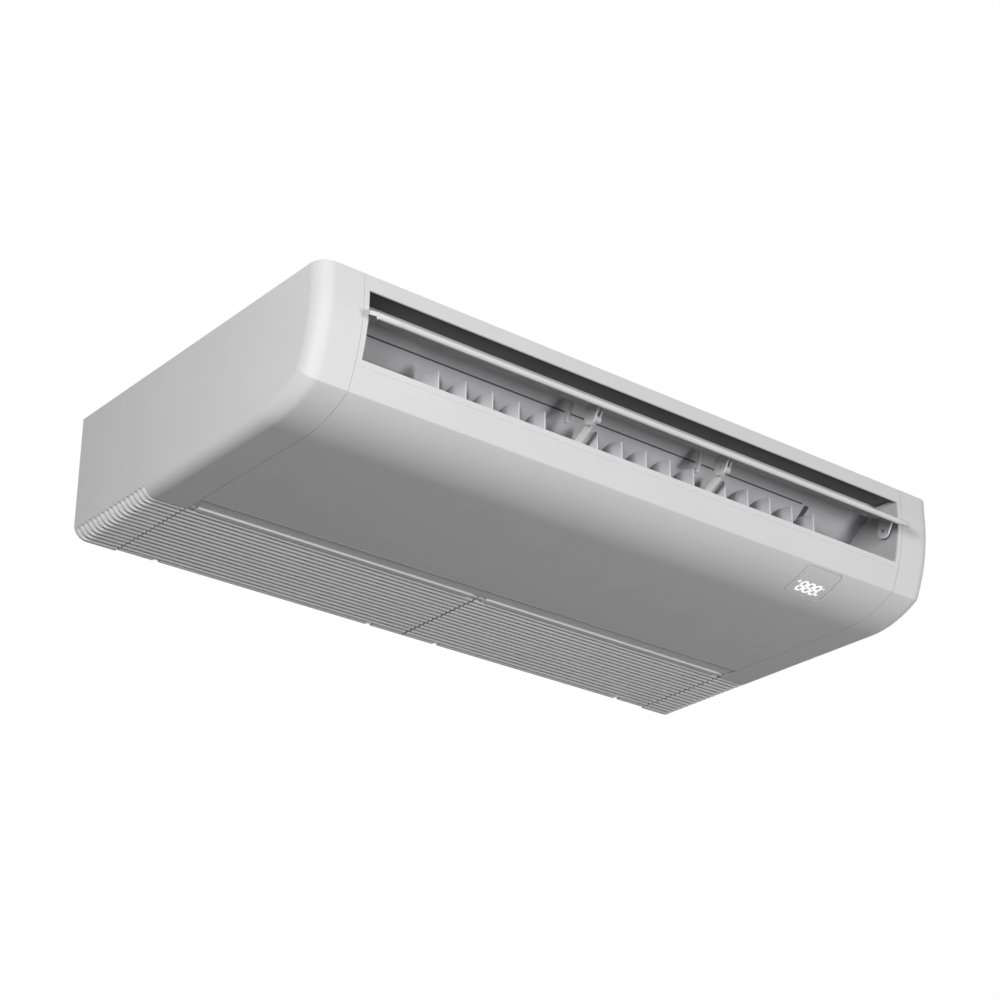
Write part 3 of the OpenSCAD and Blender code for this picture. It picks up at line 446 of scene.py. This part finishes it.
def sail(number, x):
    """One vane's skin, from its front edge back over the bulging top."""
    back = VANE_D + VANE_LONG
    outline = [(VANE_D, VANE_LOW)]
    for k in range(13):
        outline.append((VANE_D + VANE_LONG * k / 12, VANE_TIP + VANE_BULGE * math.sin(math.pi * k / 14)))
    outline += [(back + 1, VANE_TIP - 12), (back + 1, VANE_LOW)]
    centre = (VANE_D + VANE_LONG / 2, (VANE_LOW + VANE_TIP) / 2)
    rings = []
    for out, inward in ((-VANE_HALF, 0.6), (-VANE_HALF + 0.4, 0.0), (VANE_HALF - 0.4, 0.0), (VANE_HALF, 0.6)):
        rings.append([at(x + out, d, z) for d, z in shrunk(outline, centre, inward)])
    form = bmesh.new()
    joined_rings(form, rings)
    edge = []
    for turn in (k * math.pi / 6 for k in range(12)):
        edge.append((VANE_D + VANE_EDGE_IN + VANE_EDGE * math.cos(turn), VANE_EDGE * math.sin(turn)))
    joined_rings(form, [[at(x + out, d, z) for d, out in edge] for z in (VANE_LOW, VANE_TIP + 0.5)])
    skin = solid_from(f"vane_sail_{number}", form, f"vane_{number}", vane_plastic)


for group, middle in enumerate(VANE_GROUPS):
    for place in range(5):
        sail(group * 5 + place + 1, middle + (place - 2) * VANE_PITCH)

# Duct roof painted shade
# Black strips are painted shade: one under the flat front of the duct roof, where it lies in shade above the
# flap, one in the narrow open joint where the roof, moulded in two pieces, bends down, and one in the
# expansion gap near its right end.
ROOF_X, ROOF_FRONT, ROOF_FLAT_Z, ROOF_FLAT_END = 584.0, 21.0, -17.0, 50.0
ROOF_BEND, ROOF_LOW = (88.0, -42.0), (116.0, -66.0)
ROOF_SLOPE = math.hypot(ROOF_LOW[0] - ROOF_BEND[0], ROOF_LOW[1] - ROOF_BEND[1])
SHADE_STRIP_FRONT, SHADE_STRIP_DROP, SHADE_STRIP_THICK = 3.6, 4.0, 1.6
JOINT_END, JOINT_W, GAP_X, GAP_W = 432.0, 2.6, 440.0, 11.0
# This black material serves the painted shade strips below and the display's gasket.
foam = finish("black painted shade and gasket", moulding, Colour=(0.10, 0.10, 0.102, 1), Gloss=0.9, Grain=0.8, Mottle=0.2)


def run_along(name, outline, stations, body, material):
    """A closed side outline in millimetres, run along the width through the given stations."""
    form = bmesh.new()
    joined_rings(form, [[at(x, d, z) for d, z in outline] for x in stations])
    return solid_from(name, form, body, material)


def under_roof(start, end, lift=0.25):
    """A thin strip on the underside of the roof's slope, between two distances along it."""
    along_d, along_z = (ROOF_LOW[0] - ROOF_BEND[0]) / ROOF_SLOPE, (ROOF_LOW[1] - ROOF_BEND[1]) / ROOF_SLOPE
    on_roof = [(ROOF_BEND[0] + along_d * far, ROOF_BEND[1] + along_z * far) for far in (start, end)]
    return on_roof + [(d + along_z * lift, z - along_d * lift) for d, z in reversed(on_roof)]


# Painted shade: a black strip under the roof's flat front, and black strips in its joint and its gap.
shade_strip_z = ROOF_FLAT_Z - 0.2
shade_strip_line = [(SHADE_STRIP_FRONT, shade_strip_z - SHADE_STRIP_DROP), (ROOF_FRONT, shade_strip_z), (ROOF_FLAT_END - 0.5, shade_strip_z)]
shade_strip_line += [(d, z - SHADE_STRIP_THICK) for d, z in reversed(shade_strip_line)]
roof_shade_strip = run_along("roof_front_shade", shade_strip_line, (-ROOF_X, ROOF_X), "root", foam)
joint = run_along("roof_joint_shade", under_roof(0.0, JOINT_W), (-ROOF_X, JOINT_END), "root", foam)
gap = run_along("roof_gap_shade", under_roof(2.0, ROOF_SLOPE - 1.0), (GAP_X, GAP_X + GAP_W), "root", foam)

# Fascia
# One moulded skin runs from the lip down the front curve, over the crease and back under the unit
# to a fine bead and a shallow ledge before the grilles. It clips on and has a window for the display.
UNDER_RADIUS, UNDER_D, UNDER_Z = 210.75, 148.8, -9.25
BOTTOM_Z, REAR_D = -220.0, 690.0
SKIN, SKIN_X, LIP_DROP = 3.0, 594.2, 107.3
LEDGE_D, LEDGE_END, LEDGE_UP = 429.0, 459.2, 3.0
DISPLAY_X, DISPLAY_TURN, DISPLAY_REACH = 429.0, math.radians(22.1), 0.012
DISPLAY_ACROSS = [370, 386, 400, 415, 429, 443, 458, 472, 488]


def crease_turns(inset):
    """Angles of the front arc and of the under arc where they meet, for a skin moved inwards."""
    front, under = FRONT_RADIUS - inset, UNDER_RADIUS - inset
    gap_d, gap_z = UNDER_D - FRONT_RADIUS, UNDER_Z + FRONT_FLAT
    gap = math.hypot(gap_d, gap_z)
    along = (gap * gap + front * front - under * under) / (2 * gap)
    aside = math.sqrt(front * front - along * along)
    d = FRONT_RADIUS + (along * gap_d + aside * gap_z) / gap
    z = -FRONT_FLAT + (along * gap_z - aside * gap_d) / gap
    if z > UNDER_Z:
        d = FRONT_RADIUS + (along * gap_d - aside * gap_z) / gap
        z = -FRONT_FLAT + (along * gap_z + aside * gap_d) / gap
    return math.atan2(-FRONT_FLAT - z, FRONT_RADIUS - d), math.atan2(UNDER_D - d, UNDER_Z - z)


def around(turn, radius=UNDER_RADIUS):
    """A point of the under curve at an angle in front of its lowest line."""
    return UNDER_D - radius * math.sin(turn), UNDER_Z - radius * math.cos(turn)


def on_outline(part, share, inset):
    """Depth and height of a point on one part of the side outline, moved inwards by inset."""
    turn_front, turn_under = crease_turns(inset)
    if part == "upright":
        return inset, -FRONT_FLAT * share
    if part == "front":
        turn, radius = turn_front * share, FRONT_RADIUS - inset
        return FRONT_RADIUS - radius * math.cos(turn), -FRONT_FLAT - radius * math.sin(turn)
    if part == "under":
        return around(turn_under * (1 - share), UNDER_RADIUS - inset)
    return UNDER_D + (REAR_D - UNDER_D) * share, BOTTOM_Z + inset


def cut_by(piece, cutter, operation):
    """Carves a piece with another solid and keeps the result as its mesh."""
    carve = piece.modifiers.new("carve", "BOOLEAN")
    carve.object, carve.operation, carve.solver = cutter, operation, "EXACT"
    bpy.context.view_layer.update()
    result = bpy.data.meshes.new_from_object(piece.evaluated_get(bpy.context.evaluated_depsgraph_get()))
    piece.modifiers.remove(carve)
    piece.data = result
    result.shade_smooth()
    result.set_sharp_from_angle(angle=math.radians(32))
    bpy.data.objects.remove(cutter)


def display_prism(name, width, height, corner):
    """A rounded prism through the under curve, square to it at the display."""
    middle = at(DISPLAY_X, *around(DISPLAY_TURN))
    out = Vector((0, -math.sin(DISPLAY_TURN), -math.cos(DISPLAY_TURN)))
    up = Vector((0, -math.cos(DISPLAY_TURN), math.sin(DISPLAY_TURN)))
    rim = []
    for sx, sy, start in ((1, 1, 0), (-1, 1, 90), (-1, -1, 180), (1, -1, 270)):
        for step in range(9):
            turn = math.radians(start + step * 90 / 8)
            u = sx * (width / 2 - corner) + corner * math.cos(turn)
            v = sy * (height / 2 - corner) + corner * math.sin(turn)
            rim.append(middle + Vector((u / 1000, 0, 0)) + up * (v / 1000))
    form = bmesh.new()
    joined_rings(form, [[point + out * reach for point in rim] for reach in (-DISPLAY_REACH, DISPLAY_REACH)])
    return solid_from(name, form, None, shell)


lip_share = math.asin(LIP_DROP / FRONT_RADIUS) / crease_turns(0.0)[0]
stations = [("front", lip_share + (0.994 - lip_share) * k / 14) for k in range(15)]
stations += [("front", 0.998), ("under", 0.002)]
stations += [("under", 0.012 + 0.988 * k / 44) for k in range(45)]
outer = [on_outline(part, share, 0.0) for part, share in stations]
inner = [on_outline(part, share, SKIN) for part, share in stations]
bead = [(-3.4, 0), (-2.8, 0.9), (-2.2, 0.7), (-1.4, 0.1), (-0.6, 0.1), (0, 0.7)]
ledge = [(LEDGE_D + d, BOTTOM_Z + z) for d, z in bead]
ledge_z = BOTTOM_Z + LEDGE_UP
ledge += [(LEDGE_D, ledge_z), (LEDGE_END, ledge_z), (LEDGE_END, ledge_z + SKIN)]
ledge += [(LEDGE_D - SKIN, ledge_z + SKIN), (LEDGE_D - SKIN, BOTTOM_Z + SKIN)]
across = [-SKIN_X, -400, -200, 0, 200, 340] + DISPLAY_ACROSS + [520, SKIN_X]
fascia = run_along("fascia_skin", outer + ledge + inner[::-1], across, "root", shell)
cut_by(fascia, display_prism("display_cutter", 88.0, 70.0, 8.0), "DIFFERENCE")
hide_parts("fascia_panel")

# Display
# A clear-faced window of satin plastic sits in the fascia with a fine dark joint round it.
# The numbers and small signs behind it are lit white.
WINDOW_SUNK, WINDOW_BACK, WINDOW_EDGE = 0.5, 3.0, 0.4
SIGN_LIFT, STROKE_GAP = 0.12, 0.35
DIGIT_W, DIGIT_H, DIGIT_MIDDLE, STROKE, SLANT = 11.5, 23.0, -13.0, 2.0, 0.14
DIGIT_PLACES = (-24.0, -7.5, 9.0)
DOT_U, DOT_V, DOT_R = 5.0, -24.4, 1.2


def curved_strip(half_turn, front, back):
    """Side outline of a strip along the under curve at the display, between two depths under its face."""
    turns = [DISPLAY_TURN + math.radians(half_turn * (k / 10 - 1)) for k in range(21)]
    outline = [around(turn, UNDER_RADIUS - front) for turn in turns]
    return outline + [around(turn, UNDER_RADIUS - back) for turn in reversed(turns)]


window_plastic = finish(
    "display window plastic", moulding, coat=0.2, Colour=(0.68, 0.68, 0.69, 1), Gloss=0.3, Grain=0.02,
)
plate_loop = curved_strip(14.0, WINDOW_SUNK, WINDOW_BACK)
window = run_along("display_plate", plate_loop, DISPLAY_ACROSS, "root", window_plastic)
cut_by(window, display_prism("window_cutter", 85.6, 67.6, 6.8), "INTERSECT")
bevel = window.modifiers.new("soft edges", "BEVEL")
bevel.width, bevel.segments = WINDOW_EDGE / 1000, 2
bevel.limit_method, bevel.angle_limit = "ANGLE", math.radians(35)
bevel.harden_normals = True
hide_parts("display_window")
gasket_across = [384] + DISPLAY_ACROSS[2:7] + [474]
gasket = run_along("display_gasket", curved_strip(9.7, 3.1, 3.8), gasket_across, "root", foam)


def sign(form, outline):
    """A flat lit shape on the window, from its outline in millimetres across and up the face."""
    points = []
    for u, v in outline:
        turn = DISPLAY_TURN + v / UNDER_RADIUS
        points.append(at(DISPLAY_X + u, *around(turn, UNDER_RADIUS - WINDOW_SUNK + SIGN_LIFT)))
    form.faces.new([form.verts.new(point) for point in points])


def stroke(form, a, b):
    """One segment of a number: a bar with pointed ends."""
    (ax, ay), (bx, by) = a, b
    length = math.hypot(bx - ax, by - ay)
    ux, uy = (bx - ax) / length, (by - ay) / length
    tip, start, end = STROKE * 0.9, STROKE_GAP, length - STROKE_GAP
    rim = [(start, 0), (start + tip, STROKE), (end - tip, STROKE)]
    rim += [(end, 0), (end - tip, -STROKE), (start + tip, -STROKE)]
    sign(form, [(ax + ux * p - uy * q, ay + uy * p + ux * q) for p, q in rim])


form = bmesh.new()
for left in DIGIT_PLACES:
    corners = []
    for up in (0, DIGIT_H / 2, DIGIT_H):
        v = DIGIT_MIDDLE - DIGIT_H / 2 + up
        corners.append([(left + SLANT * up, v), (left + DIGIT_W + SLANT * up, v)])
    for pair in corners:
        stroke(form, *pair)
    for below, above in zip(corners, corners[1:]):
        stroke(form, below[0], above[0])
        stroke(form, below[1], above[1])
turns = [k * math.pi / 5 for k in range(10)]
sign(form, [(DOT_U + DOT_R * math.cos(turn), DOT_V + DOT_R * math.sin(turn)) for turn in turns])
sign(form, [(-33.5, -6.5), (-27.0, -6.5), (-30.0, 0.5)])
sign(form, [(25.0, -4.5), (31.5, -6.0), (31.5, -3.0)])
sign(form, [(24.0, -24.5), (29.0, -24.5), (29.8, -20.0), (24.8, -20.0)])
lit = finish("lit white signs", moulding, Colour=(0.95, 0.95, 0.95, 1), Gloss=0.5, Grain=0.0, Mottle=0.02)
lit_shader = lit.node_tree.nodes["Principled BSDF"]
lit_shader.inputs["Emission Color"].default_value = (1, 1, 1, 1)
lit_shader.inputs["Emission Strength"].default_value = 0.6
solid_from("display_signs", form, "root", lit)

# End caps
# A deep moulded cap closes each end, with its long edges rolled over and the intake ribs carried
# on round its lower edge, where they end in small round scallops.
CAP_SEAM, CAP_SIDE, CAP_WALL, RIB_WALL = 595.0, 675.0, 3.0, 6.5
CAP_FRONT_ROLL, CAP_UNDER_ROLL, FLAT_STEPS, ROLL_STEPS = 28.0, 24.0, 6, 34
RIB_PITCH, RIB_SLOT, RIB_COUNT = 12.8, 4.6, 17
RIB_START, RIB_HALF = REAR_D - RIB_COUNT * RIB_PITCH, (RIB_PITCH - RIB_SLOT) / 2
RIB_PHASES = (0.02, 2.3, 4.58, 4.7, 4.95, 5.4, 6.1, 7.2, 8.7, 10.2, 11.3, 12.0, 12.45, 12.7)
GROOVE_DEEP, GROOVE_RISE, SCALLOP_SOFT = 5.2, 15.0, 0.6


def rib_relief(d, path, roll_path):
    """How deep the ribbed face lies under the smooth one, at a depth and a place across."""
    phase = (d - RIB_START) % RIB_PITCH
    from_rib = abs(phase - RIB_SLOT / 2 - RIB_PITCH / 2)
    beyond = path - roll_path - CAP_UNDER_ROLL * math.acos(1 - GROOVE_RISE / CAP_UNDER_ROLL)
    if beyond > 0:
        from_slot = math.hypot(RIB_PITCH / 2 - from_rib, beyond)
        share = (RIB_SLOT / 2 + SCALLOP_SOFT / 2 - from_slot) / SCALLOP_SOFT
        return GROOVE_DEEP * max(0.0, min(1.0, share))
    if from_rib >= RIB_HALF:
        return GROOVE_DEEP
    return min(RIB_HALF - math.sqrt(RIB_HALF * RIB_HALF - from_rib * from_rib), GROOVE_DEEP)


def end_cap(name, side, node):
    """One cap as a closed skin: a rolled outer grid, an inner grid and the rims between them."""
    rows = [("upright", k / 4) for k in range(4)]
    rows += [("front", 0.996 * k / 24) for k in range(25)] + [("front", 0.9985), ("under", 0.0015)]
    rows += [("under", 0.01 + 0.99 * k / 24) for k in range(25)]
    flat_long = REAR_D - UNDER_D
    rows += [("flat", (RIB_START - UNDER_D) / flat_long * k / 6) for k in range(1, 7)]
    ribbed_from = len(rows)
    for rib in range(RIB_COUNT):
        start = RIB_START + rib * RIB_PITCH - UNDER_D
        rows += [("flat", (start + phase) / flat_long) for phase in RIB_PHASES]
    rows.append(("flat", 1.0))
    form = bmesh.new()

    def grooved(number, d, path, flat):
        return rib_relief(d, path, flat) if ribbed_from <= number < len(rows) - 1 else 0.0

    def walled(number, d, path, flat):
        return CAP_WALL if number < ribbed_from - 1 else RIB_WALL

    def skin(depth_of):
        grid = []
        for number, (part, share) in enumerate(rows):
            ease = share if part == "under" else float(part == "flat")
            ease = ease * ease * (3 - 2 * ease)
            roll = CAP_FRONT_ROLL + (CAP_UNDER_ROLL - CAP_FRONT_ROLL) * ease
            flat = CAP_SIDE - roll - CAP_SEAM
            line = []
            for step in range(FLAT_STEPS + ROLL_STEPS + 1):
                turn = max(0.0, (step - FLAT_STEPS) / ROLL_STEPS) * math.pi / 2
                over = min(1.0, step / FLAT_STEPS) * flat
                radius = roll - depth_of(number, UNDER_D + flat_long * share, over + roll * turn, flat)
                x = CAP_SEAM + over + radius * math.sin(turn)
                d, z = on_outline(part, share, roll - radius * math.cos(turn))
                line.append(form.verts.new(at(side * x, d, z)))
            grid.append(line)
        for upper, lower in zip(grid, grid[1:]):
            for k in range(len(upper) - 1):
                form.faces.new((upper[k], upper[k + 1], lower[k + 1], lower[k]))
        return grid

    outer, inner = skin(grooved), skin(walled)
    outer_top = form.verts.new(at(side * CAP_SIDE, REAR_D, 0))
    inner_top = form.verts.new(at(side * (CAP_SIDE - CAP_WALL), REAR_D, 0))
    form.faces.new([line[-1] for line in outer] + [outer_top])
    form.faces.new([line[-1] for line in inner] + [inner_top])
    for upper, lower, upper_in, lower_in in zip(outer, outer[1:], inner, inner[1:]):
        form.faces.new((upper[0], lower[0], lower_in[0], upper_in[0]))
    for line, line_in in ((outer[0], inner[0]), (outer[-1], inner[-1])):
        for k in range(len(line) - 1):
            form.faces.new((line[k], line[k + 1], line_in[k + 1], line_in[k]))
        form.faces.new((line[-1], outer_top, inner_top, line_in[-1]))
    cap = solid_from(name, form, "root", shell)
    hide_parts(node)


end_cap("cap_left", -1, "end_cap_left")
end_cap("cap_right", 1, "end_cap_right")

# Grilles and filters
# Two ribbed grilles swing down on pins along the rear edge, each with a mesh filter laid in it.
# Each is one moulding: round ribs on cross rails, a smooth border at the front, a rolled rear edge.
GRILLE_IN, GRILLE_OUT, GRILLE_D, RAIL_Z, GRILLE_UP = 1.5, 593.0, 460.0, -213.0, -208.0
HINGE_D, HINGE_Z, HINGE_R, PIN_R = 683.0, -213.5, 6.5, 3.0
LUG_PLACES, LUG_HALF = (76.0, 520.0), 6.0
BORDER_SHORT, BORDER_BACK, BORDER_SOFT = 13.0, 4.0, 1.2
RAIL_COUNT, RAIL_W, RAIL_IN, CROSS_RAILS = 7, 4.0, 2.0, (0.3, 104.0)


def ends_rounded(form, outline, centre, x0, x1, soft, side):
    """A bar with one side outline and softly rounded ends."""
    stations = [(x0, soft), (x0 + soft * 0.3, soft * 0.3), (x0 + soft, 0.0)]
    stations += [(x1 - soft, 0.0), (x1 - soft * 0.3, soft * 0.3), (x1, soft)]
    rings = [shrunk(outline, centre, inward) for _, inward in stations]
    joined_rings(form, [[at(side * x, d, z) for d, z in ring] for (x, _), ring in zip(stations, rings)])


def block(form, side, x0, x1, d0, d1, z0, z1):
    """A plain rail."""
    corners = ((d0, z0), (d0, z1), (d1, z1), (d1, z0))
    joined_rings(form, [[at(side * x, d, z) for d, z in corners] for x in (x0, x1)])


def intake_grille(name, side, body, node):
    """One grille of round ribs, rails, border and hinge edge, mirrored by side."""
    form = bmesh.new()
    for rib in range(RIB_COUNT - 1):
        d = RIB_START + RIB_SLOT + rib * RIB_PITCH + RIB_HALF
        outline = arc(d, BOTTOM_Z + RIB_HALF, RIB_HALF, 180, 360, 10)
        outline += [(d + RIB_HALF, RAIL_Z + 1), (d - RIB_HALF, RAIL_Z + 1)]
        ends_rounded(form, outline, (d, BOTTOM_Z + RIB_HALF), GRILLE_IN, GRILLE_OUT, 1.2, side)
    border = [(GRILLE_D + BORDER_SOFT, BOTTOM_Z), (RIB_START - BORDER_SOFT, BOTTOM_Z)]
    border += [(RIB_START, BOTTOM_Z + BORDER_SOFT), (RIB_START, RAIL_Z + 1)]
    border += [(GRILLE_D, RAIL_Z + 1), (GRILLE_D, BOTTOM_Z + BORDER_SOFT)]
    middle = ((GRILLE_D + RIB_START) / 2, BOTTOM_Z + 4)
    ends_rounded(form, border, middle, GRILLE_IN + BORDER_SHORT, GRILLE_OUT - BORDER_SHORT, 1.0, side)
    for x in (GRILLE_IN, GRILLE_OUT - BORDER_SHORT):
        block(form, side, x, x + BORDER_SHORT, GRILLE_D + BORDER_BACK, RIB_START, BOTTOM_Z + 2.0, RAIL_Z + 1)
    edges = [GRILLE_IN] + [x + out for x in LUG_PLACES for out in (-LUG_HALF, LUG_HALF)] + [GRILLE_OUT]
    rolled = arc(HINGE_D, HINGE_Z, HINGE_R, 0, 345, 23)
    for x0, x1 in zip(edges[::2], edges[1::2]):
        ends_rounded(form, rolled, (HINGE_D, HINGE_Z), x0, x1, 0.6, side)
    pin = arc(HINGE_D, HINGE_Z, PIN_R - 0.05, 0, 337.5, 15)
    for x in LUG_PLACES:
        pin_ends = (x - LUG_HALF - 1, x + LUG_HALF + 1)
        joined_rings(form, [[at(side * place, d, z) for d, z in pin] for place in pin_ends])
    rail_span = GRILLE_OUT - GRILLE_IN - 2 * RAIL_IN - RAIL_W
    for rail in range(RAIL_COUNT):
        x = GRILLE_IN + RAIL_IN + rail * rail_span / (RAIL_COUNT - 1)
        block(form, side, x, x + RAIL_W, GRILLE_D + 0.5, HINGE_D - HINGE_R + 1, RAIL_Z, GRILLE_UP)
    x0, x1 = GRILLE_IN + RAIL_IN + 0.2, GRILLE_OUT - RAIL_IN - 0.2
    for back in CROSS_RAILS:
        d = GRILLE_D + back
        block(form, side, x0, x1, d, d + RAIL_W, RAIL_Z + 0.2, GRILLE_UP - 0.2)
    grille = solid_from(name, form, body, shell)
    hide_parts(node)


intake_grille("grille_ribs_left", -1, "grille_left", "intake_grille_left")
intake_grille("grille_ribs_right", 1, "grille_right", "intake_grille_right")
# The near-black openings of the net are painted shade.
filter_net = finish(
    "filter net", lines,
    Colour=(0.11, 0.11, 0.12, 1), Gap=(0.02, 0.02, 0.02, 1), Lines=400.0, Both=1.0, Gloss=0.6,
)
dress(filter_net, "filter_left", "filter_right")

# Room
# A pale floor under the hung unit, soft lamps at the front left and front, white surroundings.
FLOOR_HALF, FLOOR_Z = 1.3, -2.6
floor_mesh = bpy.data.meshes.new("floor")
form = bmesh.new()
bmesh.ops.create_grid(form, x_segments=1, y_segments=1, size=FLOOR_HALF)
form.to_mesh(floor_mesh)
form.free()
floor = bpy.data.objects.new("floor", floor_mesh)
floor.location = (0, 0, FLOOR_Z)
bpy.context.scene.collection.objects.link(floor)
floor_paint = finish("pale floor", moulding, Colour=(0.66, 0.66, 0.66, 1), Gloss=0.6, Grain=0.0)
paint_tree = floor_paint.node_tree
seen_below = put(paint_tree, "ShaderNodeMath", operation="MULTIPLY")
paint_tree.links.new(put(paint_tree, "ShaderNodeLightPath").outputs["Is Camera Ray"], seen_below.inputs[0])
paint_tree.links.new(put(paint_tree, "ShaderNodeNewGeometry").outputs["Backfacing"], seen_below.inputs[1])
one_sided = put(paint_tree, "ShaderNodeMixShader", [("Fac", seen_below.outputs[0])])
paint_tree.links.new(paint_tree.nodes["Principled BSDF"].outputs[0], one_sided.inputs[1])
paint_tree.links.new(put(paint_tree, "ShaderNodeBsdfTransparent").outputs[0], one_sided.inputs[2])
paint_tree.links.new(one_sided.outputs[0], paint_tree.nodes["Material Output"].inputs["Surface"])
floor_mesh.materials.append(floor_paint)


def lamp(name, place, aim, power, size):
    """A round softbox at a place, turned to what it lights."""
    data = bpy.data.lights.new(name, "AREA")
    data.energy, data.shape, data.size = power, "DISK", size
    holder = bpy.data.objects.new(name, data)
    holder.location = place
    holder.rotation_euler = (Vector(aim) - Vector(place)).to_track_quat("-Z", "Y").to_euler()
    holder.visible_camera = False
    bpy.context.scene.collection.objects.link(holder)


lamp("front lamp", (1.3, -3.45, -1.5), (0, -0.2, -0.1), 72.5, 1.2)
lamp("left lamp", (-3.22, -2.22, -0.36), (-0.2, -0.1, -0.1), 102.0, 1.2)

world = bpy.data.worlds.new("surroundings")
bpy.context.scene.world = world
world.use_nodes = True
sky = world.node_tree
background = sky.nodes["Background"]
background.inputs["Color"].default_value = (1, 1, 1, 1)
rays = put(sky, "ShaderNodeLightPath")
seen = put(sky, "ShaderNodeMath", operation="MAXIMUM")
sky.links.new(rays.outputs["Is Camera Ray"], seen.inputs[0])
sky.links.new(rays.outputs["Is Glossy Ray"], seen.inputs[1])
seen_too = put(sky, "ShaderNodeMath", operation="MAXIMUM")
sky.links.new(seen.outputs[0], seen_too.inputs[0])
sky.links.new(rays.outputs["Is Transmission Ray"], seen_too.inputs[1])
strength = put(sky, "ShaderNodeMapRange", [("Value", seen_too.outputs[0])])
strength.inputs["To Min"].default_value, strength.inputs["To Max"].default_value = 0.008, 1.0
sky.links.new(strength.outputs[0], background.inputs["Strength"])
